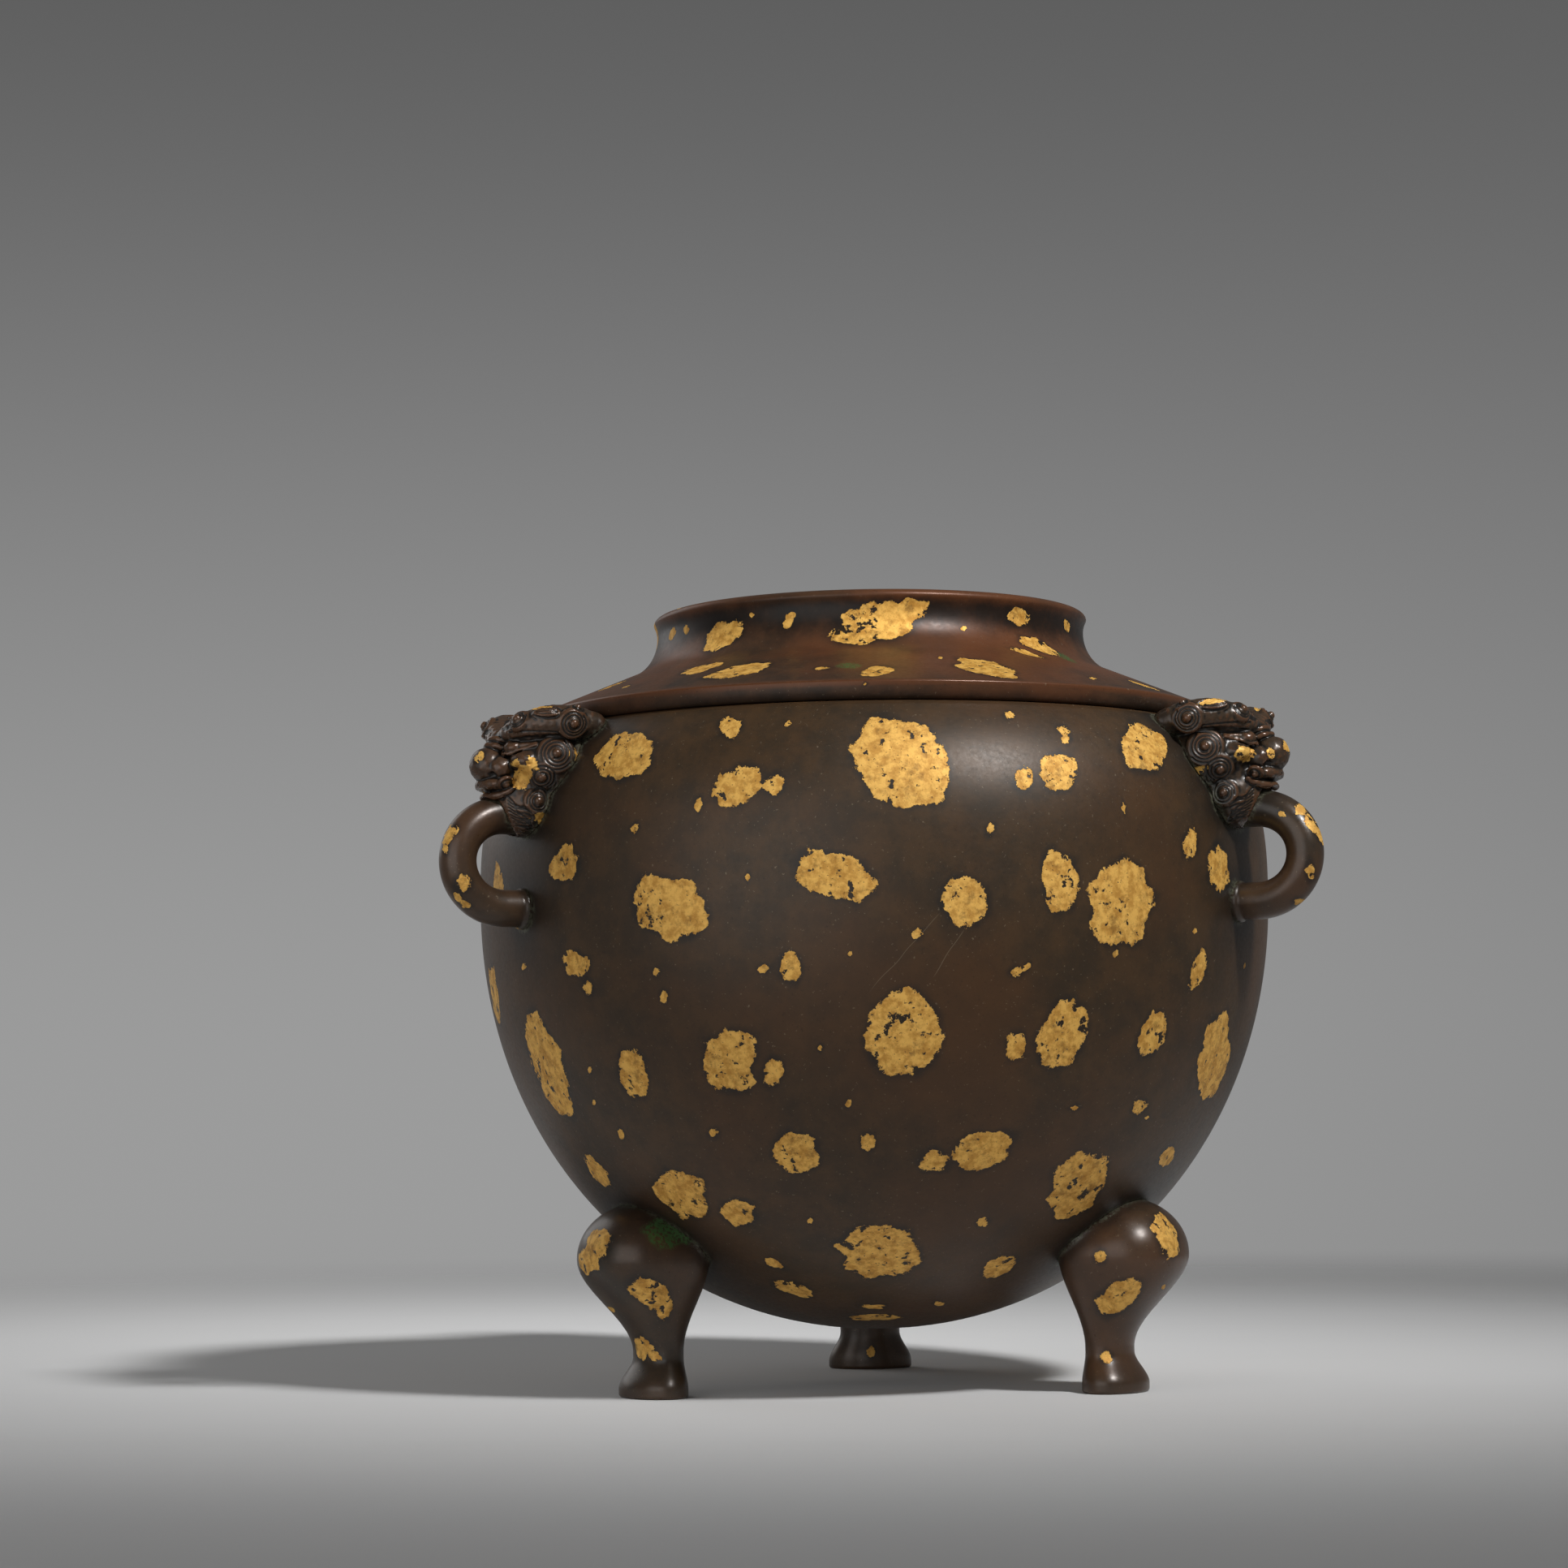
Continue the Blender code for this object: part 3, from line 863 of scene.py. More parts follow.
class Turning:
    """Turned and swept skins."""

    @staticmethod
    def net(count: int, sides: int, ring: bool) -> tuple[Array, Array]:
        """Faces between rows of corners.

        Args:
            count: number of rows
            sides: corners in a row
            ring: whether the last row joins the first, in place of a fan over each end

        Returns:
            The quads, and the fans' triangles, whose tips are the two points after the last row.
        """
        here = np.arange(sides)
        there = (here + 1) % sides
        rows = sides * np.arange(count)[:, None]
        low, high = (rows, np.roll(rows, -1, axis=0)) if ring else (rows[:-1], rows[1:])
        quads = np.stack([low + here, low + there, high + there, high + here], -1).reshape(-1, 4)
        if ring:
            return quads, np.zeros((0, 3), int)
        tip, top = count * sides, (count - 1) * sides
        under = np.stack([np.full(sides, tip), there, here], 1)
        above = np.stack([np.full(sides, tip + 1), top + here, top + there], 1)
        return quads, np.vstack([under, above])

    @staticmethod
    def layout(outline: Array, sides: int, ring: bool, shares: Array | None) -> Array:
        """Where the corners of a turned skin's faces lie on the unit square, for baking.

        Args:
            outline: (radius, height) points
            sides: number of facets round
            ring: whether the outline closes on itself
            shares: weight of each outline step

        Returns:
            One place for each corner of the quads and then of the fans.
        """
        whole = np.vstack([outline, outline[:1]]) if ring else outline
        steps = np.linalg.norm(np.diff(whole, axis=0), axis=1)
        steps = steps if shares is None else steps * shares
        climb = np.concatenate([[0.0], np.cumsum(steps)]) / steps.sum()
        left, right = np.arange(sides) / sides, (np.arange(sides) + 1) / sides
        rungs = climb if ring else climb[1:-1]
        low, high = rungs[:-1, None], rungs[1:, None]
        parts = [(left, low, right, low, right, high, left, high)]
        if not ring:
            middle = (left + right) / 2
            parts.append((middle, climb[0], right, climb[1], left, climb[1]))
            parts.append((middle, climb[-1], left, climb[-2], right, climb[-2]))
        return np.vstack([np.stack(np.broadcast_arrays(*part), -1).reshape(-1, 2) for part in parts])

    @staticmethod
    def lathe(outline: Array, sides: int, ring: bool, shares: Array | None = None) -> Skin:
        """Turn an outline about the vessel's axis.

        Args:
            outline: (radius, height) points; a bowl's run from the axis to the axis
            sides: number of facets round
            ring: whether the outline closes on itself
            shares: weight of each outline step in the bake layout

        Returns:
            The turned skin, with a layout for baking.
        """
        rows = outline if ring else outline[1:-1]
        flat = rows[:, None, :1] * circle(turns(sides))
        points = np.concatenate([flat, np.repeat(rows[:, None, 1:], sides, 1)], -1).reshape(-1, 3)
        if not ring:
            points = np.vstack([points, [(0.0, 0.0, outline[0, 1])], [(0.0, 0.0, outline[-1, 1])]])
        layout = Turning.layout(outline, sides, ring, shares)
        return Skin(points, *Turning.net(len(rows), sides, ring), layout)

    @staticmethod
    def stack(rings: Array) -> Skin:
        """Join rings, an array of (ring, corner, coordinate), into a closed skin with a fan at each end."""
        ends = np.array([rings[0].mean(0), rings[-1].mean(0)])
        return Skin(np.vstack([rings.reshape(-1, 3), ends]), *Turning.net(*rings.shape[:2], False))

    @staticmethod
    def sweep(path: Array, radii: Array, sides: int) -> Skin:
        """Sweep a round section along a path in the radial plane.

        Args:
            path: (radius, height) points
            radii: radius of the section at each point
            sides: corners of the section

        Returns:
            The closed skin.
        """
        along = np.gradient(path, axis=0)
        along /= np.linalg.norm(along, axis=1)[:, None]
        angles = turns(sides)
        side = radii[:, None] * np.cos(angles)
        out, up = path[:, :1] - along[:, 1:] * side, path[:, 1:] + along[:, :1] * side
        return Turning.stack(np.stack([out, radii[:, None] * np.sin(angles), up], axis=-1))


@dataclass
class Piece:
    """A finished piece: its node, its mesh object and the points that shaders and neighbours use."""

    node: str
    obj: bpy.types.Object
    points: Array
    normals: Array

    @classmethod
    def make(cls, node: str, skin: Skin, sharp: float = CRISP) -> "Piece":
        """Make a piece that stands for a node.

        Args:
            node: the node it replaces
            skin: its mesh
            sharp: edges that turn by more than this angle stay crisp

        Returns:
            The piece, riding on the part's body.
        """
        mesh = skin.mesh(f"{node}_skin", sharp)
        obj = link(f"{node}_skin", mesh)
        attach(obj, BODY)
        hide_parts(node)
        normals = np.zeros(len(mesh.vertices) * 3, np.float32)
        mesh.vertex_normals.foreach_get("vector", normals)
        piece = cls(node, obj, skin.points, normals.reshape(-1, 3).astype(float))
        for name in (Field.GOLD, Field.GREEN, Field.JOINT):
            piece.carry(name, np.full(len(skin.points), FAR_MM))
        piece.carry(Field.RELIEF, np.zeros(len(skin.points)))
        return piece

    @classmethod
    def around(cls, kind: str, skin: Skin) -> list["Piece"]:
        """Make a piece at each station from a skin that stands at +X."""
        return [cls.make(f"{kind}_{place.number}", skin.turned(place.turn)) for place in Station]

    @property
    def radius(self) -> Array:
        """Distance of each point from the vessel's axis."""
        return np.hypot(self.points[:, 0], self.points[:, 1])

    @property
    def height(self) -> Array:
        """Height of each point."""
        return self.points[:, 2]

    def carry(self, name: Field, values: Array) -> None:
        """Store a value for each point, for the shaders."""
        mesh = self.obj.data
        layer = mesh.attributes.get(name.value) or mesh.attributes.new(name.value, "FLOAT", "POINT")
        layer.data.foreach_set("value", values.astype(np.float32))

    def stain(self, name: Field, gilder: Gilder, patches: list[Patch], shown: Any = slice(None)) -> None:
        """Store each point's distance to the nearest of some patches.

        Args:
            name: the value to store it in
            gilder: measures it
            patches: the patches
            shown: the points that they can lie on
        """
        distances = np.full(len(self.points), FAR_MM)
        distances[shown] = gilder.distances(self.points[shown], self.normals[shown], patches)
        self.carry(name, distances)

    def gild(
        self, gilder: Gilder, rows: Splashes, rule: Scatter, uneven: bool = False, shown: Any = slice(None)
    ) -> None:
        """Gild the piece where the photograph shows it and where it doesn't.

        Args:
            gilder: settles the splashes
            rows: the splashes that the photograph shows
            rule: how the others fall
            uneven: whether the surface bends too much to give a splash a plane
            shown: the points that splashes can lie on
        """
        points, normals = self.points[shown], self.normals[shown]
        patches = gilder.settled(rows, points, normals, uneven)
        patches += gilder.scatter(rule, points, normals, patches)
        self.stain(Field.GOLD, gilder, patches, shown)

    def coat(self, patina: Patina, material: bpy.types.Material) -> None:
        """Give the piece its finish."""
        self.obj.data.materials.append(material)
        LOG.info("%s: %d points, %s", self.obj.name, len(self.points), patina.slot.value)


class Nearness:
    """Measures how near points lie to a set of places."""

    def __init__(self, places: Array) -> None:
        """Index the places."""
        self.low, self.high = places.min(0), places.max(0)
        self.tree = KDTree(len(places))
        for index, place in enumerate(places):
            self.tree.insert(place, index)
        self.tree.balance()

    def of(self, points: Array, reach: float) -> Array:
        """Distance from each point to the nearest place, in millimetres.

        Args:
            points: the points
            reach: points further than this from all the places are skipped

        Returns:
            The distances, FAR_MM where a point was skipped.
        """
        near = np.all((points > self.low - reach) & (points < self.high + reach), axis=1)
        distances = np.full(len(points), FAR_MM)
        distances[near] = [self.tree.find(point)[2] / MM for point in points[near]]
        return distances


@dataclass(frozen=True)
class GlobeForm:
    """The globe's outer shape: two superellipse quarters that meet at its widest ring."""

    radius: float = 105.27 * MM
    lift: float = 15.0 * MM
    belly_depth: float = 114.0 * MM
    belly_fullness: float = 2.06
    shoulder_rise: float = 43.8 * MM
    shoulder_inset: float = 15.27 * MM
    shoulder_fullness: float = 2.9
    wall: float = 4.0 * MM
    mouth_land: float = 6.0 * MM

    @property
    def middle(self) -> float:
        """Height of the widest ring."""
        return self.lift + self.belly_depth

    @property
    def seam(self) -> float:
        """Height of the seam under the collar."""
        return self.middle + self.shoulder_rise

    @property
    def seam_radius(self) -> float:
        """Radius of the seam."""
        return self.radius - self.shoulder_inset

    @property
    def shoulder_span(self) -> float:
        """Height at which the shoulder's curve would close on the axis, above the widest ring."""
        share = (self.seam_radius / self.radius) ** self.shoulder_fullness
        return self.shoulder_rise / (1 - share) ** (1 / self.shoulder_fullness)

    def radius_at(self, height: Array) -> Array:
        """Outer radius at each height, from the bottom to the seam."""
        height = np.clip(height, self.lift, self.seam)
        low = np.clip((self.middle - height) / self.belly_depth, 0.0, 1.0)
        high = np.clip((height - self.middle) / self.shoulder_span, 0.0, 1.0)
        belly = (1 - low**self.belly_fullness) ** (1 / self.belly_fullness)
        shoulder = (1 - high**self.shoulder_fullness) ** (1 / self.shoulder_fullness)
        return self.radius * np.where(height < self.middle, belly, shoulder)

    def wall_at(self, height: float) -> float:
        """Outer radius at one height."""
        return float(self.radius_at(np.array([height]))[0])

    def gap(self, points: Array) -> Array:
        """How far each point lies outside the globe, measured level."""
        return np.hypot(points[:, 0], points[:, 1]) - self.radius_at(points[:, 2])

    def outline(self, belly_steps: int, shoulder_steps: int) -> Array:
        """Outer (radius, height) points from the axis under the belly to the seam."""
        angle = math.pi / 2 * (1 - np.arange(belly_steps) / belly_steps)
        radius = self.radius * np.cos(angle) ** (2 / self.belly_fullness)
        radius[0] = 0.0
        height = self.middle - self.belly_depth * np.sin(angle) ** (2 / self.belly_fullness)
        last = math.acos((self.seam_radius / self.radius) ** (self.shoulder_fullness / 2))
        turn = last * np.arange(shoulder_steps + 1) / shoulder_steps
        upper = self.radius * np.cos(turn) ** (2 / self.shoulder_fullness)
        rise = self.middle + self.shoulder_span * np.sin(turn) ** (2 / self.shoulder_fullness)
        return np.vstack([np.stack([radius, height], 1), np.stack([upper, rise], 1)])

    @staticmethod
    def inset(outline: Array, distance: float) -> Array:
        """An outline moved towards the axis side, square to itself.

        Args:
            outline: (radius, height) points that run upwards on the outside
            distance: how far it moves in

        Returns:
            The moved outline.
        """
        along = np.gradient(outline, axis=0)
        along /= np.linalg.norm(along, axis=1)[:, None]
        moved = outline + distance * np.stack([-along[:, 1], along[:, 0]], 1)
        return np.stack([np.maximum(moved[:, 0], 0.0), moved[:, 1]], 1)


@dataclass
class Globe:
    """The cast globe: a shell open at the top, with a flat land under the collar."""

    form: GlobeForm = GlobeForm()
    sides: int = 400
    belly_steps: int = 118
    shoulder_steps: int = 42
    inside_belly: int = 36
    inside_shoulder: int = 12
    inside_share: float = 0.3
    # Reach of the joint field, far enough for the painted shade round the fixed pieces as well as their
    # dirt.
    grime: float = 22.0 * MM
    ease: float = 0.25 * MM
    touch: float = 0.4 * MM
    gilt_depth: float = 0.5 * MM
    # Worn copper-red line along the seam edge, made brighter as a painted highlight: its width and strength.
    edge_wear: float = 0.7 * MM
    edge_worn: float = 0.6
    scattered: Scatter = Scatter(360)
    splashes: Splashes = (
        (771, 930, 74, 56, -22), (897, 894, 30, 21, -25), (970, 891, 9, 9), (904, 968, 62, 44, -38),
        (858, 989, 11, 16), (953, 967, 20, 26, 20), (1107, 934, 122, 104, 28), (1142, 958, 56, 58),
        (1242, 882, 12, 10), (1313, 899, 17, 11, 20), (1316, 909, 12, 13), (1259, 958, 22, 31),
        (1304, 951, 46, 47), (1411, 920, 56, 62, -35), (1388, 993, 8, 16, -25), (780, 1018, 10, 15),
        (1219, 1024, 12, 18, 25), (693, 1066, 34, 48, 20), (612, 1084, 16, 44), (822, 1120, 84, 82),
        (870, 1140, 8, 8), (1025, 1073, 88, 62, 28), (1050, 1085, 40, 44), (923, 1078, 8, 12),
        (1191, 1113, 52, 62, -32), (1133, 1149, 12, 14), (1305, 1083, 46, 74), (1386, 1111, 82, 104, 8),
        (1377, 1177, 7, 6), (1465, 1038, 20, 34, 8), (1504, 1068, 30, 58, -8), (1473, 1147, 6, 6),
        (709, 1183, 30, 33), (725, 1218, 12, 18), (646, 1188, 7, 9), (609, 1226, 18, 72, -4),
        (808, 1200, 8, 10), (816, 1228, 9, 14), (974, 1190, 27, 39, -8), (938, 1194, 14, 10),
        (1049, 1175, 5, 5), (1249, 1194, 15, 12), (1267, 1187, 7, 8), (1479, 1192, 19, 48, 18),
        (1533, 1187, 6, 7), (1115, 1272, 92, 104), (1311, 1273, 58, 88, 24), (1251, 1285, 22, 36),
        (1420, 1271, 34, 54, 22), (1499, 1305, 44, 108, 8), (674, 1314, 46, 122, -18),
        (783, 1323, 34, 66, -10), (903, 1306, 64, 80, 8), (950, 1322, 21, 36, 10), (1007, 1288, 7, 8),
        (728, 1316, 6, 8), (733, 1360, 5, 6), (765, 1396, 8, 14, -12), (876, 1395, 13, 13),
        (1047, 1364, 8, 9), (1323, 1367, 14, 7, -20), (1404, 1361, 22, 15, -25), (1415, 1377, 6, 6),
        (737, 1442, 22, 42, -32), (979, 1420, 56, 52, 20), (1070, 1405, 17, 25, -12), (1149, 1430, 29, 33),
        (1211, 1417, 72, 46, -30), (1329, 1461, 66, 92, 32), (1438, 1427, 20, 26, 20),
        (842, 1471, 58, 66, -30), (907, 1493, 40, 36, -15), (999, 1502, 7, 7), (1209, 1506, 15, 11, -20),
        (1086, 1546, 104, 70), (1231, 1563, 40, 28, -15), (952, 1556, 24, 11, 12), (977, 1589, 48, 19, 20),
        (1077, 1611, 26, 8), (1080, 1624, 54, 13), (1156, 1607, 14, 7),
    )

    def build(self) -> Piece:
        """Turn the shell.

        Returns:
            The globe's piece.
        """
        outer = self.form.outline(self.belly_steps, self.shoulder_steps)
        inner = self.form.inset(self.form.outline(self.inside_belly, self.inside_shoulder), self.form.wall)
        mouth = self.form.seam_radius - self.form.mouth_land
        rising = int(np.argmax(inner[:, 0]))
        keep = (np.arange(len(inner)) <= rising) | (inner[:, 0] > mouth)
        inner = inner[keep]
        inner[0] = (0.0, self.form.lift + self.form.wall)
        land = np.array([[mouth, self.form.seam], [mouth, inner[-1, 1]]])
        outer[-1, 0] -= self.ease
        edge = np.array([[outer[-1, 0] - self.ease, self.form.seam]])
        outer[-1, 1] -= self.ease
        outline = np.vstack([outer, edge, land, inner[::-1]])
        shares = np.ones(len(outline) - 1)
        shares[len(outer) :] = self.inside_share
        return Piece.make("vessel_body", Turning.lathe(outline, self.sides, False, shares))

    def touching(self, piece: Piece) -> Array:
        """Points of a piece that lie against the globe."""
        return piece.points[self.form.gap(piece.points) < self.touch]

    def dress(self, piece: Piece, gilder: Gilder, neighbours: list[Piece]) -> None:
        """Gild the globe, and dirty it and paint shade on it round what is fixed to it.

        Args:
            piece: the globe
            gilder: settles the splashes
            neighbours: the pieces fixed to it
        """
        outside = piece.radius > self.form.radius_at(piece.height) - self.gilt_depth
        piece.gild(gilder, self.splashes, self.scattered, shown=outside)
        # Worn red edge at the seam, partly a painted highlight line where the edge catches light.
        edge = bell(self.form.seam - piece.height, self.edge_wear)
        piece.carry(Field.RELIEF, np.where(outside, self.edge_worn * edge, 0.0))
        # Distance to the fixed pieces, which sets their dirt and the painted shade round them.
        joint = np.full(len(piece.points), FAR_MM)
        for other in neighbours:
            gaps = Nearness(self.touching(other)).of(piece.points[outside], self.grime)
            joint[outside] = np.minimum(joint[outside], gaps)
        piece.carry(Field.JOINT, joint)


@dataclass
class Collar:
    """The collar: band and ridge over the seam, sloping shoulder, coved neck and flared lip."""

    globe: GlobeForm = GlobeForm()
    clearance: float = 0.3 * MM
    band_tuck: float = 0.9 * MM
    ridge_overhang: float = 0.8 * MM
    ridge_rise: float = 5.2 * MM
    ridge_round: float = 0.7 * MM
    slope: float = math.radians(22.5)
    cove_radius: float = 12.5 * MM
    neck_radius: float = 57.5 * MM
    lip_rise: float = 5.2 * MM
    lip_flare: float = 2.2 * MM
    lip_round: float = 1.1 * MM
    lip_tuck: float = 0.78 * MM
    wall: float = 3.4 * MM
    spigot_depth: float = 4.0 * MM
    spigot_wall: float = 3.0 * MM
    sides: int = 360
    band_steps: int = 12
    ridge_steps: int = 7
    slope_steps: int = 16
    cove_steps: int = 22
    flare_steps: int = 9
    lip_steps: int = 11
    least_outward: float = -0.2
    ridge_wear: float = 1.2 * MM
    ridge_depth: float = 2.0 * MM
    lip_wear: float = 2.6 * MM
    worn: float = 0.5
    # Painted shade in the neck's cove, with some dark patina: its strength and its height.
    neck_soot: float = 0.56
    neck_dark: float = 6.5 * MM
    seam_depth: float = 3.0 * MM
    seam_start_mm: float = 0.6
    seam_rate: float = 1.6
    scattered: Scatter = Scatter(70)
    splashes: Splashes = (
        (1078, 770, 104, 50, -12), (1110, 752, 60, 26, -20), (1046, 782, 44, 28), (889, 783, 50, 30, -38),
        (973, 763, 11, 22, 12), (829, 780, 7, 19, 15), (845, 777, 6, 13), (1256, 760, 26, 20, 10),
        (1314, 772, 8, 15), (927, 759, 6, 5), (1189, 775, 6, 5), (864, 824, 50, 14, -18),
        (911, 825, 76, 20, -12), (1012, 825, 17, 5), (1084, 825, 40, 14, -12), (1217, 822, 88, 22, 13),
        (1280, 797, 54, 13, 22), (1268, 806, 44, 6, 16), (1347, 836, 10, 5), (770, 846, 12, 5, -20),
        (752, 838, 40, 8, -26), (1410, 842, 42, 8, 22), (1064, 842, 6, 4), (1158, 812, 5, 4),
    )
    greens: Splashes = ((1314, 810, 30, 12, 28), (1045, 820, 34, 12))

    def outline(self) -> Array:
        """Outer (radius, height) points from the seam over the ridge and the neck to the lip."""
        foot = self.globe.seam + self.clearance
        inner = self.globe.seam_radius - self.band_tuck
        bulge = self.band_tuck + self.ridge_overhang
        rise = self.ridge_rise - self.clearance - self.ridge_round
        turn = np.linspace(0.0, math.pi / 2, self.band_steps)
        band = np.stack([inner + bulge * np.sin(turn), foot + rise * (1 - np.cos(turn))], 1)
        centre = band[-1] - (self.ridge_round, 0.0)
        turn = np.linspace(0.0, math.pi / 2 - self.slope, self.ridge_steps)[1:]
        ridge = centre + self.ridge_round * circle(turn)
        cove_centre = self.neck_radius + self.cove_radius
        tangent = cove_centre - self.cove_radius * math.sin(self.slope)
        tangent_height = ridge[-1, 1] + (ridge[-1, 0] - tangent) * math.tan(self.slope)
        share = np.linspace(0.0, 1.0, self.slope_steps)[1:-1, None]
        straight = ridge[-1] * (1 - share) + np.array([tangent, tangent_height]) * share
        waist = tangent_height + self.cove_radius * math.cos(self.slope)
        turn = np.linspace(1.5 * math.pi - self.slope, math.pi, self.cove_steps)
        cove = np.array([cove_centre, waist]) + self.cove_radius * circle(turn)
        bend = (self.lip_rise**2 + self.lip_flare**2) / (2 * self.lip_flare)
        last = math.asin((self.lip_rise - self.lip_round - self.lip_tuck) / bend)
        turn = np.linspace(math.pi, math.pi - last, self.flare_steps)[1:]
        flare = np.array([self.neck_radius + bend, waist]) + bend * circle(turn)
        return np.vstack([band, ridge, straight, cove, flare])

    def build(self) -> Piece:
        """Turn the ring.

        Returns:
            The collar's piece.
        """
        outer = self.outline()
        inner = GlobeForm.inset(outer, self.wall)
        spigot = self.globe.seam_radius - self.globe.mouth_land - self.clearance
        throat = spigot - self.spigot_wall
        inner = inner[inner[:, 0] < throat]
        turn = np.linspace(0.0, math.pi, self.lip_steps)[1:-1]
        middle, reach = (outer[-1] + inner[-1]) / 2, (outer[-1] - inner[-1]) / 2
        square = np.array([-reach[1], reach[0]]) / np.linalg.norm(reach)
        lip = middle + np.outer(np.cos(turn), reach) + np.outer(np.sin(turn), square * self.lip_round)
        low = self.globe.seam - self.spigot_depth
        under = np.array([[throat, inner[0, 1]], [throat, low], [spigot, low], [spigot, outer[0, 1]]])
        outline = np.vstack([outer, lip, inner[::-1], under])
        return Piece.make("shoulder_collar", Turning.lathe(outline, self.sides, True))

    def dress(self, piece: Piece, gilder: Gilder) -> None:
        """Gild the collar, wear its ridge and lip red, stain it green and paint shade, with some dark
        patina, into its neck's cove.

        Args:
            piece: the collar
            gilder: settles the splashes
        """
        height, radius = piece.height, piece.radius
        outward = (piece.points[:, :2] * piece.normals[:, :2]).sum(1) / radius
        outside = (outward > self.least_outward) & (height > self.globe.seam + self.clearance / 2)
        piece.gild(gilder, self.splashes, self.scattered, shown=outside)
        greens = gilder.settled(self.greens, piece.points[outside], piece.normals[outside])
        piece.stain(Field.GREEN, gilder, greens, outside)
        ridge_height = self.globe.seam + self.ridge_rise - self.ridge_round
        ridge = bell(height - ridge_height, self.ridge_wear)
        ridge *= radius > self.globe.seam_radius - self.ridge_depth
        lip = bell(height - height.max(), self.lip_wear)
        outline = self.outline()
        waist = float(outline[np.argmin(outline[:, 0]), 1])
        # Painted shade in the neck's cove, with some dark patina, carried as low relief.
        neck = np.where(outside, self.neck_soot * bell(height - waist, self.neck_dark), 0.0)
        piece.carry(Field.RELIEF, self.worn * np.maximum(ridge, lip) - neck)
        joint = ((height - self.globe.seam) / MM + self.seam_start_mm) * self.seam_rate
        at_seam = radius > self.globe.seam_radius - self.seam_depth
        piece.carry(Field.JOINT, np.where(at_seam, joint, FAR_MM))


@dataclass
class Saddle:
    """A solid of the globe's outside, a gap larger, that cuts the seats of what is fixed to it."""

    form: GlobeForm = GlobeForm()
    gap: float = 0.06 * MM
    sides: int = 192
    belly_steps: int = 48
    shoulder_steps: int = 20

    def __post_init__(self) -> None:
        """Make the cutter."""
        outline = self.form.inset(self.form.outline(self.belly_steps, self.shoulder_steps), -self.gap)
        outline[0, 0] = 0.0
        outline = np.vstack([outline, [[0.0, outline[-1, 1]]]])
        self.obj = link("saddle", Turning.lathe(outline, self.sides, False).mesh("saddle"))

    def seat(self, skin: Skin) -> Skin:
        """Cut the globe out of a skin that stands at +X.

        Args:
            skin: a closed skin

        Returns:
            The skin with its seat.
        """
        blank = link("blank", skin.mesh("blank"))
        cut = blank.modifiers.new("seat", "BOOLEAN")
        cut.operation = "DIFFERENCE"
        cut.solver = "EXACT"
        cut.object = self.obj
        return Skin.applied(blank)

    def remove(self) -> None:
        """Take the cutter out of the scene."""
        bpy.data.objects.remove(self.obj, do_unlink=True)


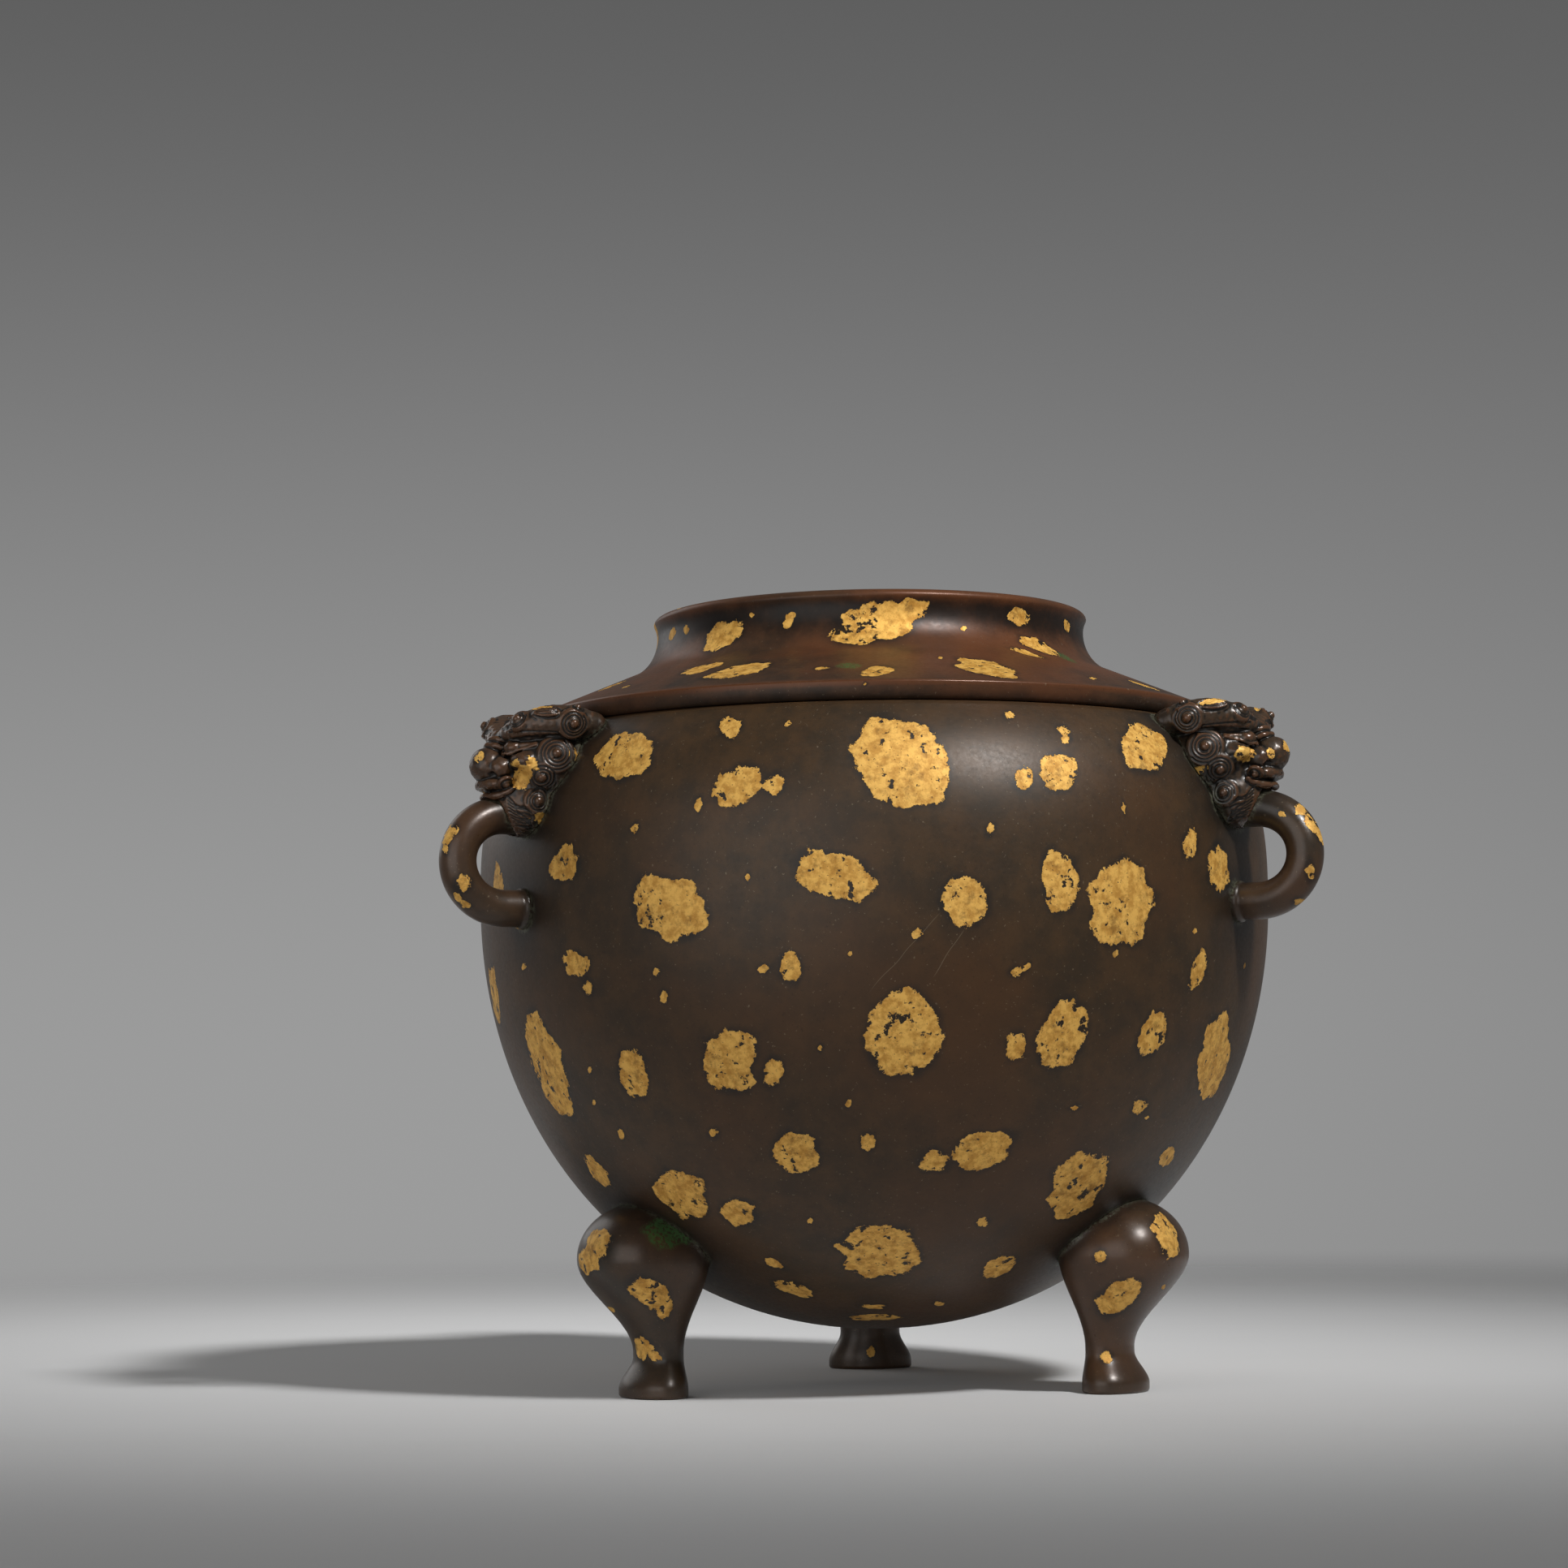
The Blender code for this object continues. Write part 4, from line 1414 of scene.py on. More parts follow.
@dataclass
class Legs:
    """The three cabriole legs."""

    globe: GlobeForm = GlobeForm()
    foot_circle: float = 68.5 * MM
    foot: tuple[float, float] = (23.4 * MM, 15.8 * MM)
    foot_edge: float = 2.2 * MM
    foot_round: float = 0.8 * MM
    ankle: tuple[float, float] = (16.8 * MM, 11.6 * MM)
    ankle_height: float = 10.2 * MM
    ankle_set_in: float = 1.5 * MM
    calf_height: float = 11.5 * MM
    knee: tuple[float, float] = (33.4 * MM, 30.8 * MM)
    knee_height: float = 35.2 * MM
    knee_standoff: float = 10.6 * MM
    knee_crown: float = 14.3 * MM
    shin_fullness: float = 2.25
    flank_fullness: float = 3.3
    rim_flare: float = 0.9 * MM
    rim_reach: float = 1.2 * MM
    sides: int = 84
    steps: int = 110
    sole_steps: int = 7
    crown_steps: int = 30
    crown_turn: float = 1.5
    shown_gap_mm: float = 0.2
    grime_rate: float = 0.7
    sole_share: float = 0.8
    sole_worn: float = 0.25
    scattered: Scatter = Scatter(16, 5.0, 0.55)
    splashes: tuple[Splashes, ...] = (
        (
            (735, 1528, 26, 32, 25), (722, 1552, 22, 36, 20), (800, 1594, 48, 34, 25),
            (818, 1608, 18, 34, -10), (790, 1660, 22, 26), (806, 1670, 16, 10, 25),
            (754, 1613, 9, 6, 30),
        ),
        (
            (1438, 1518, 28, 44, -25), (1446, 1538, 18, 22), (1357, 1546, 15, 17, 20),
            (1379, 1600, 58, 36, -38), (1364, 1674, 15, 11, 20), (1433, 1586, 7, 6),
        ),
        ((1072, 1666, 10, 12),),
    )
    greens: tuple[Splashes, ...] = (
        ((832, 1510, 46, 24, 38), (816, 1518, 50, 32, 30)),
        (),
        (),
    )

    @staticmethod
    def ease(share: Array) -> Array:
        """A share from 0 to 1 that starts and ends gently."""
        share = np.clip(share, 0.0, 1.0)
        return share * share * (3 - 2 * share)

    def section(self, height: Array) -> Array:
        """Centre radius, half width and half depth of a leg at each height.

        Args:
            height: heights above the floor

        Returns:
            One row per height.
        """
        knee_out = self.globe.wall_at(self.knee_height) + self.knee_standoff
        foot = np.array([self.foot_circle, self.foot[0] / 2, self.foot[1] / 2])
        ankle = np.array([self.foot_circle - self.ankle_set_in, self.ankle[0] / 2, self.ankle[1] / 2])
        knee = np.array([knee_out, self.knee[0] / 2, self.knee[1] / 2])
        low = self.ease((height - self.foot_edge) / (self.ankle_height - self.foot_edge))[:, None]
        high = self.ease((height - self.calf_height) / (self.knee_height - self.calf_height))[:, None]
        rows = foot + (ankle - foot) * low + (knee - ankle) * high
        crown = np.clip((height - self.knee_height) / self.knee_crown, 0.0, 1.0)
        rows[:, 1:] *= np.sqrt(1 - crown**2)[:, None]
        sole = np.clip(1 - height / self.foot_round, 0.0, 1.0)
        rows[:, 1:] -= (self.foot_round * (1 - np.sqrt(1 - sole**2)))[:, None]
        return rows

    def blank(self) -> Skin:
        """A leg at +X before its seat is cut."""
        sole = self.foot_round * (1 - np.cos(np.linspace(0, math.pi / 2, self.sole_steps)))
        shank = np.linspace(self.foot_round, self.knee_height, self.steps)[1:]
        rise = np.sin(np.linspace(0, self.crown_turn, self.crown_steps)[1:])
        heights = np.concatenate([sole, shank, self.knee_height + self.knee_crown * rise])
        rows = self.section(heights)
        angles = turns(self.sides)
        out, across = np.cos(angles), np.sin(angles)
        full = self.ease((heights - self.calf_height) / (self.knee_height - self.calf_height))[:, None]
        power = 2 / (2 + full * (np.where(out < 0, self.flank_fullness, self.shin_fullness) - 2))
        radial = rows[:, :1] + rows[:, 2:] * np.sign(out) * np.abs(out) ** power
        level = np.repeat(heights[:, None], self.sides, 1)
        side = rows[:, 1:2] * np.sign(across) * np.abs(across) ** power
        gap = np.abs(np.hypot(radial, side) - self.globe.radius_at(level))
        rim = np.where(level > self.calf_height, self.rim_flare * np.exp(-gap / self.rim_reach), 0.0)
        return Turning.stack(np.stack([radial, side + rim * across, level], axis=-1))

    def build(self, saddle: Saddle) -> list[Piece]:
        """Seat a leg on the globe at each station."""
        return Piece.around("leg", saddle.seat(self.blank()))

    def dress(self, pieces: list[Piece], gilder: Gilder) -> None:
        """Gild the legs, and dirty and green them at the globe.

        Args:
            pieces: the legs
            gilder: settles the splashes
        """
        for piece, splashes, greens in zip(pieces, self.splashes, self.greens):
            gap = self.globe.gap(piece.points) / MM
            shown = gap > self.shown_gap_mm
            points, normals = piece.points[shown], piece.normals[shown]
            patches = gilder.settled(splashes, points, normals)
            patches += gilder.scatter(self.scattered, piece.points, piece.normals, patches)
            piece.stain(Field.GOLD, gilder, patches)
            piece.stain(Field.GREEN, gilder, gilder.settled(greens, points, normals))
            joint = np.where(piece.height > self.ankle_height, gap * self.grime_rate, FAR_MM)
            piece.carry(Field.JOINT, joint)
            piece.carry(Field.RELIEF, bell(piece.height, self.foot_edge * self.sole_share) * self.sole_worn)


@dataclass
class Loops:
    """The three fixed loop handles."""

    globe: GlobeForm = GlobeForm()
    top_height: float = 148.1 * MM
    height: float = 23.6 * MM
    reach: float = 18.3 * MM
    straight: float = 5.6 * MM
    rod: float = 9.5 * MM
    foot_flare: float = 0.55 * MM
    foot_length: float = 1.3 * MM
    socket_floor: float = 2.5 * MM
    grime: float = 5.0 * MM
    sides: int = 56
    steps: int = 120
    foot_steps: int = 40
    tenon_steps: int = 16
    foot_crisp: float = 7.0
    scattered: Scatter = Scatter(10, 1.9, 0.3)
    splashes: tuple[Splashes, ...] = (
        (
            (553, 1030, 10, 30, 22), (558, 1022, 9, 14, 30), (549, 1046, 8, 12),
            (571, 1088, 19, 18), (564, 1106, 8, 12, -40), (574, 1115, 12, 7, 30),
        ),
        (
            (1603, 999, 15, 14, 40), (1616, 1014, 12, 26, -35), (1627, 1028, 8, 18, -20),
            (1615, 1073, 12, 22), (1600, 1110, 13, 8, -25), (1579, 1004, 10, 6, 20),
        ),
        (),
    )

    @property
    def foot_height(self) -> float:
        """Height of the foot's centre line."""
        return self.top_height - self.height

    def path(self) -> Array:
        """Centre line in the radial plane, from inside the wall to the end of the tenon."""
        wall = self.globe.wall_at(self.foot_height)
        end = self.globe.wall_at(self.top_height) + self.socket_floor
        turn = wall + self.straight
        run = np.linspace(wall - self.globe.wall, turn, self.foot_steps)[:-1]
        lower = np.stack([run, np.full(len(run), self.foot_height)], 1)
        angle = np.linspace(-math.pi / 2, math.pi / 2, self.steps)
        out = turn + (self.reach - self.straight) * np.cos(angle)
        bow = np.stack([out, self.foot_height + self.height / 2 * (1 + np.sin(angle))], 1)
        run = np.linspace(turn, end, self.tenon_steps)[1:]
        upper = np.stack([run, np.full(len(run), self.top_height)], 1)
        return np.vstack([lower, bow, upper])

    def build(self, saddle: Saddle) -> list[Piece]:
        """Sweep the loops and seat their feet.

        Args:
            saddle: cuts their seats

        Returns:
            One piece for each station.
        """
        path = self.path()
        wall = self.globe.wall_at(self.foot_height)
        low = (path[:, 1] < self.foot_height + self.height / 2) & (path[:, 0] < wall + self.straight)
        away = (path[:, 0] - wall) / self.foot_length
        flare = self.foot_flare / (1 + np.exp((away - 1.0) * self.foot_crisp))
        radii = self.rod / 2 + np.where(low, flare, 0.0)
        return Piece.around("loop", saddle.seat(Turning.sweep(path, radii, self.sides)))

    def dress(self, pieces: list[Piece], masks: list[Piece], gilder: Gilder) -> None:
        """Gild the loops and dirty their ends.

        Args:
            pieces: the loops
            masks: the masks that hold them
            gilder: settles the splashes
        """
        for piece, mask, splashes in zip(pieces, masks, self.splashes):
            piece.gild(gilder, splashes, self.scattered, uneven=True)
            gap = self.globe.gap(piece.points) / MM
            chin = mask.points[mask.height < self.top_height + self.rod]
            piece.carry(Field.JOINT, np.minimum(gap, Nearness(chin).of(piece.points, self.grime)))


@dataclass(frozen=True)
class Lobe:
    """A rounded mass of a mask: middle (out, across, up) and half sizes, in millimetres."""

    middle: Point
    half: Point
    soft: float = 1.2
    cut: bool = False


@dataclass(frozen=True)
class Roll:
    """A rounded roll or furrow of a mask along points (out, across, up, half thickness), in millimetres."""

    points: tuple[tuple[float, float, float, float], ...]
    soft: float = 0.5
    cut: bool = False


@dataclass(frozen=True)
class Curl:
    """A spiral lock in a swelling: a place near it, its size, turns and hand, and its start in degrees."""

    near: Point
    radius: float
    turns: float
    hand: int = 1
    start: float = 0.0


class Clay:
    """A block of voxels that holds the distance to a modelled surface, in millimetres.

    Distances are worked out as far as reach past a mass and margin voxels past a line.
    """

    reach: float = 3.0
    margin: int = 3
    snaps: int = 6
    snap_share: float = 0.9
    casts: int = 80
    cast_step: float = 0.5
    blur: float = 1.5

    def __init__(self, low: Point, high: Point, voxel: float) -> None:
        """Lay out the block.

        Args:
            low: lowest corner
            high: highest corner
            voxel: spacing
        """
        self.low = np.array(low)
        self.voxel = voxel
        self.count = np.ceil((np.array(high) - self.low) / voxel).astype(int) + 1
        self.values = np.full(self.count, FAR_MM, np.float32)

    def region(self, low: Array, high: Array) -> tuple[tuple[slice, ...], Array]:
        """The voxels of a box.

        Args:
            low: lowest corner
            high: highest corner

        Returns:
            Slices of the block, and the voxels' places.
        """
        first = np.clip(np.floor((low - self.low) / self.voxel).astype(int), 0, self.count)
        last = np.clip(np.ceil((high - self.low) / self.voxel).astype(int) + 1, 0, self.count)
        axes = [self.low[i] + self.voxel * np.arange(first[i], last[i]) for i in range(3)]
        places = np.stack(np.meshgrid(*axes, indexing="ij"), -1)
        return tuple(slice(a, b) for a, b in zip(first, last)), places

    def press(self, part: tuple[slice, ...], form: Array, soft: float, cut: bool) -> None:
        """Join a form to the clay, or cut it out, with a soft fillet.

        Args:
            part: the voxels that it can touch
            form: distances to it there
            soft: size of the fillet
            cut: whether it is cut out
        """
        sign = -1.0 if cut else 1.0
        clay = self.values[part] * sign
        near = np.maximum(soft - np.abs(clay - form), 0.0) / soft
        self.values[part] = sign * (np.minimum(clay, form) - near * near * soft / 4)

    def lobe(self, lobe: Lobe, axes: Array = np.eye(3)) -> None:
        """Add or cut a rounded mass.

        Args:
            lobe: its middle and half sizes
            axes: directions of the half sizes, as rows
        """
        middle, half = np.array(lobe.middle), np.array(lobe.half)
        span = np.abs(axes.T) @ half + self.reach
        part, places = self.region(middle - span, middle + span)
        offset = (places - middle) @ axes.T / half
        size = np.linalg.norm(offset, axis=-1)
        slope = np.linalg.norm(offset / half, axis=-1)
        self.press(part, size * (size - 1.0) / np.maximum(slope, 1e-6), lobe.soft, lobe.cut)

    def line(self, points: Array, soft: float, cut: bool = False) -> None:
        """Add or cut a round line through (out, across, up, half thickness) points.

        Args:
            points: the points, one per row
            soft: size of the fillet
            cut: whether it is cut out
        """
        form = np.full(self.count, FAR_MM, np.float32)
        for start, end in zip(points, points[1:]):
            reach = max(start[3], end[3]) + soft + self.margin * self.voxel
            along = end[:3] - start[:3]
            part, places = self.region(
                np.minimum(start[:3], end[:3]) - reach, np.maximum(start[:3], end[:3]) + reach
            )
            offset = places - start[:3]
            share = np.clip(offset @ along / max(float(along @ along), 1e-9), 0.0, 1.0)
            gap = np.linalg.norm(offset - share[..., None] * along, axis=-1)
            form[part] = np.minimum(form[part], gap - (start[3] + (end[3] - start[3]) * share))
        reach = points[:, 3].max() + soft + self.margin * self.voxel
        part, _ = self.region(points[:, :3].min(0) - reach, points[:, :3].max(0) + reach)
        self.press(part, form[part], soft, cut)

    def probe(self, places: Array) -> tuple[Array, Array]:
        """Read the clay between voxels.

        Args:
            places: where to read it, one per row

        Returns:
            Distances to the surface, and directions away from it.
        """
        spot = np.clip((places - self.low) / self.voxel, 0.0, self.count - 1.001)
        cell = spot.astype(int)
        share = spot - cell
        weights = np.stack([1 - share, share])
        value, rise = np.zeros(len(places)), np.zeros((len(places), 3))
        for corner in np.ndindex(2, 2, 2):
            here = self.values[tuple((cell + corner).T)]
            weight = np.stack([weights[corner[axis], :, axis] for axis in range(3)], 1)
            value += here * weight.prod(1)
            for axis in range(3):
                side = 2 * corner[axis] - 1
                rise[:, axis] += side * here * np.delete(weight, axis, 1).prod(1)
        return value, rise / np.maximum(np.linalg.norm(rise, axis=1, keepdims=True), 1e-9)

    def snap(self, places: Array) -> Array:
        """Move places on to the surface."""
        for _ in range(self.snaps):
            value, rise = self.probe(places)
            places = places - self.snap_share * value[:, None] * rise
        return places

    def cast(self, places: Array, direction: Array) -> Array:
        """Move places along a direction until they meet the surface."""
        for _ in range(self.casts):
            value, _ = self.probe(places)
            places = places + np.clip(value, -self.cast_step, self.cast_step)[:, None] * direction
        return places

    def softened(self, passes: int) -> "Clay":
        """A copy whose distances are averaged with their neighbours', pass by pass."""
        copy = Clay((0.0, 0.0, 0.0), (0.0, 0.0, 0.0), self.voxel)
        copy.low, copy.count = self.low, self.count
        copy.values = np.clip(self.values, -self.blur, self.blur)
        for _ in range(passes):
            for axis in range(3):
                ahead, behind = np.roll(copy.values, 1, axis), np.roll(copy.values, -1, axis)
                copy.values = (ahead + behind) * 0.25 + copy.values * 0.5
        return copy

    def mirrored(self) -> "Clay":
        """The block with its mirror image across its first plane."""
        whole = Clay((0.0, 0.0, 0.0), (0.0, 0.0, 0.0), self.voxel)
        whole.low = self.low - (0.0, self.voxel * (self.count[1] - 1), 0.0)
        whole.count = self.count * (1, 2, 1) - (0, 1, 0)
        whole.values = np.concatenate([self.values[:, :0:-1], self.values], axis=1)
        edge = np.ones(whole.count, bool)
        edge[1:-1, 1:-1, 1:-1] = False
        whole.values[edge] = np.maximum(whole.values[edge], self.voxel)
        return whole

    def skin(self) -> Skin:
        """Mesh the surface, which the block's outermost voxels lie outside of, with a point in each cell.

        Returns:
            A closed skin of quads, in millimetres.
        """
        inside = self.values < 0
        steps = [np.array(step) for step in np.ndindex(2, 2, 2)]
        counts = np.zeros(self.count - 1, np.int8)
        for step in steps:
            counts += inside[tuple(slice(s, s + n) for s, n in zip(step, counts.shape))]
        cells = np.argwhere((counts > 0) & (counts < 8))
        number = np.full(self.count - 1, -1)
        number[tuple(cells.T)] = np.arange(len(cells))
        total, hits = np.zeros((len(cells), 3)), np.zeros(len(cells))
        units = np.eye(3, dtype=int)
        for start, unit in ((step, unit) for step in steps for unit in units if not step @ unit):
            a, b = (self.values[tuple((cells + corner).T)] for corner in (start, start + unit))
            crossed = (a < 0) != (b < 0)
            share = np.where(crossed, a / np.where(crossed, a - b, 1.0), 0.0)
            total[crossed] += (start + share[:, None] * unit)[crossed]
            hits += crossed
        points = self.low + self.voxel * (cells + total / hits[:, None])
        quads = []
        for axis in range(3):
            u, v = units[(axis + 1) % 3], units[(axis + 2) % 3]
            edges = np.argwhere(inside != np.roll(inside, -1, axis))
            ring = [edges - u - v, edges - v, edges, edges - u]
            faces = np.stack([number[tuple(cell.T)] for cell in ring], 1)
            outward = inside[tuple(edges.T)]
            quads.append(np.where(outward[:, None], faces, faces[:, ::-1]))
        return Skin(points, np.vstack(quads))


@dataclass
class LionMasks:
    """The three lion masks, modelled as rounded masses, rolls, furrows and spiral locks.

    A mask's own axes are out from the globe, across and up, in millimetres from its anchor on the
    wall. Features are given for one half and mirrored.
    """

    globe: GlobeForm = GlobeForm()
    anchor_height: float = 159.0 * MM
    collar_radius: float = 91.1 * MM
    seat_gap_mm: float = 0.06
    rod_mm: float = 4.75
    rod_drop_mm: float = 10.9
    rod_gap_mm: float = 0.12
    socket_out_mm: float = 5.6
    voxel_mm: float = 0.22
    kept_faces: float = 0.42
    low: Point = (-13.0, 0.0, -18.5)
    high: Point = (20.5, 20.0, 18.6)
    side_view: Point = (0.415, 0.905, -0.094)
    groove_mm: float = 0.32
    boss_mm: float = 1.05
    swell_mm: float = 0.85
    ripple_mm: float = 0.10
    ripple_length_mm: float = 3.4
    ripple_skew: Point = (0.4, -0.3, 0.5)
    # Lowers the relief all over, so more of a mask falls in the darkened furrows: dirt with painted shade.
    tarnish: float = 0.14
    relief_mm: float = 0.09
    blur_passes: int = 5
    grime_rate: float = 0.8
    scattered: Scatter = Scatter(8, 2.0, 0.3)
    lean: tuple[float, ...] = (-0.02, 0.045, 0.0)
    lobes: tuple[Lobe, ...] = (
        Lobe((-2.0, 0.0, 2.4), (14.0, 16.0, 11.6)),
        Lobe((-5.0, 0.0, 11.2), (13.0, 15.2, 5.9), 2.0),
        Lobe((4.4, 0.0, -7.6), (9.0, 10.4, 8.6), 2.4),
        Lobe((8.4, 8.6, 2.3), (3.6, 3.6, 2.5), 1.3),
        Lobe((11.4, 0.0, -2.9), (4.6, 6.8, 2.6), 0.9),
        Lobe((11.6, 0.0, 6.6), (2.8, 3.3, 3.0), 1.0),
        Lobe((14.4, 0.0, 2.0), (4.6, 4.7, 4.6), 0.7),
        Lobe((12.6, 4.3, 1.0), (3.0, 2.8, 2.9), 0.6),
        Lobe((10.6, 7.0, 6.1), (3.2, 2.9, 2.1), 0.3, True),
        Lobe((10.2, 5.9, 6.0), (2.3, 2.6, 1.9), 0.2),
        Lobe((15.5, 4.6, -0.9), (1.5, 1.2, 1.0), 0.3, True),
    )
    rolls: tuple[Roll, ...] = (
        Roll(
            ((9.8, 0.0, 8.8, 2.2), (9.6, 3.2, 9.6, 2.7), (8.0, 7.0, 10.8, 3.5), (5.0, 10.4, 11.9, 4.1),
             (1.2, 12.9, 12.3, 4.3), (-3.6, 14.4, 12.0, 4.0), (-8.0, 15.0, 11.2, 3.5)),
            0.5,
        ),
        Roll(
            ((10.6, 7.6, 7.9, 0.6), (7.4, 11.6, 7.8, 1.0), (3.0, 15.0, 7.7, 1.1), (-2.0, 17.0, 7.5, 1.1),
             (-8.0, 17.8, 7.2, 1.0)),
            0.4, True,
        ),
        Roll(
            ((11.3, 3.4, 5.6, 0.4), (12.4, 4.8, 4.5, 0.5), (11.6, 6.8, 4.5, 0.5), (9.4, 8.8, 5.4, 0.45),
             (6.6, 11.8, 6.3, 0.35)),
            0.25,
        ),
        Roll(((10.2, 6.6, 6.4, 1.1), (6.4, 11.4, 6.6, 0.4)), 0.4),
        Roll(((14.4, 0.0, 7.0, 0.85), (13.5, 2.3, 6.8, 0.85), (11.9, 3.7, 6.2, 0.6)), 0.25),
        Roll(((13.4, 0.0, 8.8, 0.8), (12.6, 2.2, 8.6, 0.8), (11.0, 3.6, 8.0, 0.6)), 0.25),
        Roll(((15.9, 0.0, -2.7, 1.4), (14.8, 3.4, -3.0, 1.4), (12.4, 6.0, -3.0, 1.2)), 0.4),
        Roll(
            ((15.0, 0.0, -6.0, 1.0), (13.9, 3.3, -6.0, 1.0), (12.0, 5.9, -5.3, 0.9), (10.8, 7.4, -4.3, 0.6)),
            0.4,
        ),
        Roll(
            ((17.2, 0.0, -4.5, 0.5), (16.0, 3.4, -4.6, 0.55), (13.8, 6.1, -4.3, 0.55),
             (12.0, 7.6, -3.2, 0.5)),
            0.2, True,
        ),
        Roll(((19.0, 0.0, -0.8, 0.35), (17.2, 0.0, -3.2, 0.4)), 0.2, True),
        Roll(((12.6, 0.0, 10.0, 0.5), (12.0, 0.0, 13.0, 0.6), (8.5, 0.0, 16.4, 0.6)), 0.4, True),
        Roll(((16.6, 5.9, 2.4, 0.3), (14.2, 6.7, 3.7, 0.35), (11.6, 5.8, 4.1, 0.35)), 0.2, True),
    )
    curls: tuple[Curl, ...] = (
        Curl((10.3, 9.0, 12.9), 2.9, 2.0, 1, 30.0),
        Curl((-1.6, 16.3, 11.5), 3.8, 2.6, 1, 180.0),
        Curl((-4.2, 13.4, 15.7), 2.0, 1.5, -1, 0.0),
        Curl((2.4, 14.8, 3.9), 4.7, 3.2, 1, 250.0),
        Curl((5.6, 13.1, -1.8), 3.7, 2.4, -1, 80.0),
        Curl((5.6, 10.7, -7.8), 3.4, 2.2, 1, 120.0),
        Curl((12.4, 6.5, -3.2), 2.0, 1.3, -1, 60.0),
        Curl((-2.6, 16.0, -2.6), 2.2, 1.6, 1, 0.0),
        Curl((11.6, 4.4, 13.3), 1.6, 1.2, -1, 90.0),
    )
    strand: tuple[Point, ...] = (
        (7.4, 10.8, 1.6), (4.6, 13.0, 0.2), (2.6, 14.6, -2.2), (2.8, 14.0, -5.2), (5.6, 11.0, -6.4),
    )
    strands: int = 2
    strand_step: Point = (0.75, -0.43, 0.0)
    hem: tuple[Point, ...] = ((11.4, 6.0, 10.0), (9.4, 9.9, 9.9), (5.6, 13.4, 9.6), (0.8, 16.0, 9.2))
    leaf_near: Point = (5.0, 14.3, 14.4)
    leaf_half: Point = (3.7, 1.75, 1.3)
    leaf_sunk_mm: float = 0.5
    leaf_rim: Band = (1.1, 1.15)
    leaf_veins: tuple[float, ...] = (-0.45, 0.0, 0.45)
    leaf_vein_run: float = 0.75
    small_curl_mm: float = 3.0
    swell_spread: float = 1.06
    curl_steps: int = 26
    boss_flat: float = 0.7
    beard_lines: int = 10
    beard_first: tuple[Point, Point] = ((12.6, 6.4, -6.4), (8.0, 10.8, -11.6))
    beard_last: tuple[Point, Point] = ((9.8, 5.4, -14.8), (4.6, 6.6, -16.6))
    beard_bow: Point = (0.6, 1.4, -0.9)
    wrinkle_lines: int = 4
    wrinkle_first: tuple[Point, Point] = ((12.8, 2.8, 11.6), (11.4, 7.4, 10.8))
    wrinkle_sweep: tuple[Point, Point] = ((0.0, 2.6, -0.8), (0.3, 0.5, -0.6))
    wrinkle_bow: Point = (0.4, 0.4, 0.8)
    crown_lines: int = 6
    crown_steps: int = 12
    crown_across: Band = (1.4, 11.0)
    crown_run: Band = (6.5, -11.0)
    crown_recede: float = 0.35
    crown_wave: Band = (0.5, 0.55)
    crown_top: float = 17.5
    deep_groove_mm: float = 0.4
    fine_groove_mm: float = 0.27
    mane_groove_mm: float = 0.26
    vein_groove_mm: float = 0.24
    groove_soft: float = 0.2
    roll_steps: int = 4
    beard_steps: int = 7
    wrinkle_steps: int = 5
    mane_steps: int = 6
    standoff_mm: float = 2.0
    splashes: tuple[Splashes, ...] = (
        (
            (644, 958, 24, 30, 25), (656, 940, 18, 20), (634, 940, 10, 10),
            (591, 934, 10, 16, 30), (662, 871, 24, 5),
        ),
        (
            (1534, 928, 27, 18), (1566, 930, 8, 13, -20), (1586, 919, 10, 19, -18),
            (1496, 863, 28, 7, -12), (1549, 873, 8, 6, 30),
        ),
        (),
    )

    @property
    def anchor(self) -> Array:
        """Radius and height of the masks' anchor on the wall."""
        return np.array([self.globe.wall_at(self.anchor_height), self.anchor_height])

    @staticmethod
    def smooth_line(points: Array, steps: int) -> Array:
        """A smooth curve through points.

        Args:
            points: the points, one per row
            steps: pieces between two points

        Returns:
            Points along the curve.
        """
        if len(points) < 3:
            return points
        before = np.vstack([2 * points[0] - points[1], points, 2 * points[-1] - points[-2]])
        curve = []
        for a, b, c, d in zip(before, before[1:], before[2:], before[3:]):
            share = np.arange(steps)[:, None] / steps
            bend = 2 * a - 5 * b + 4 * c - d + share * (3 * (b - c) + d - a)
            curve.append(b + 0.5 * share * (c - a + share * bend))
        return np.vstack(curve + [points[-1:]])

    def spot(self, clay: Clay, near: Point) -> tuple[Array, Array, Array]:
        """The place on the surface seen behind a point, its outward direction and its two tangents.

        Args:
            clay: the head
            near: a place near it

        Returns:
            The place, its direction, and the tangents as rows.
        """
        view = np.array(self.side_view)
        middle = clay.cast(np.array([near]) + self.standoff_mm * view, -view)
        normal = clay.probe(middle)[1][0]
        return middle[0], normal, Gilder.tangents(normal)

    @staticmethod
    def laid(middle: Array, sides: Array, along: Array, rise: Array) -> Array:
        """Places at flat offsets from a middle, along its two tangents."""
        return middle + np.outer(along, sides[0]) + np.outer(rise, sides[1])

    def groove(self, clay: Clay, path: Array, half: float) -> None:
        """Cut a fine line along a path on the surface."""
        clay.line(np.column_stack([path, np.full(len(path), half)]), self.groove_soft, True)

    def bowed(self, clay: Clay, start: Array, end: Array, bow: Point, steps: int) -> None:
        """Cut a fine line whose middle bows out between its start and its end."""
        line = self.smooth_line(np.array([start, (start + end) / 2 + bow, end]), steps)
        self.groove(clay, clay.snap(line), self.fine_groove_mm)

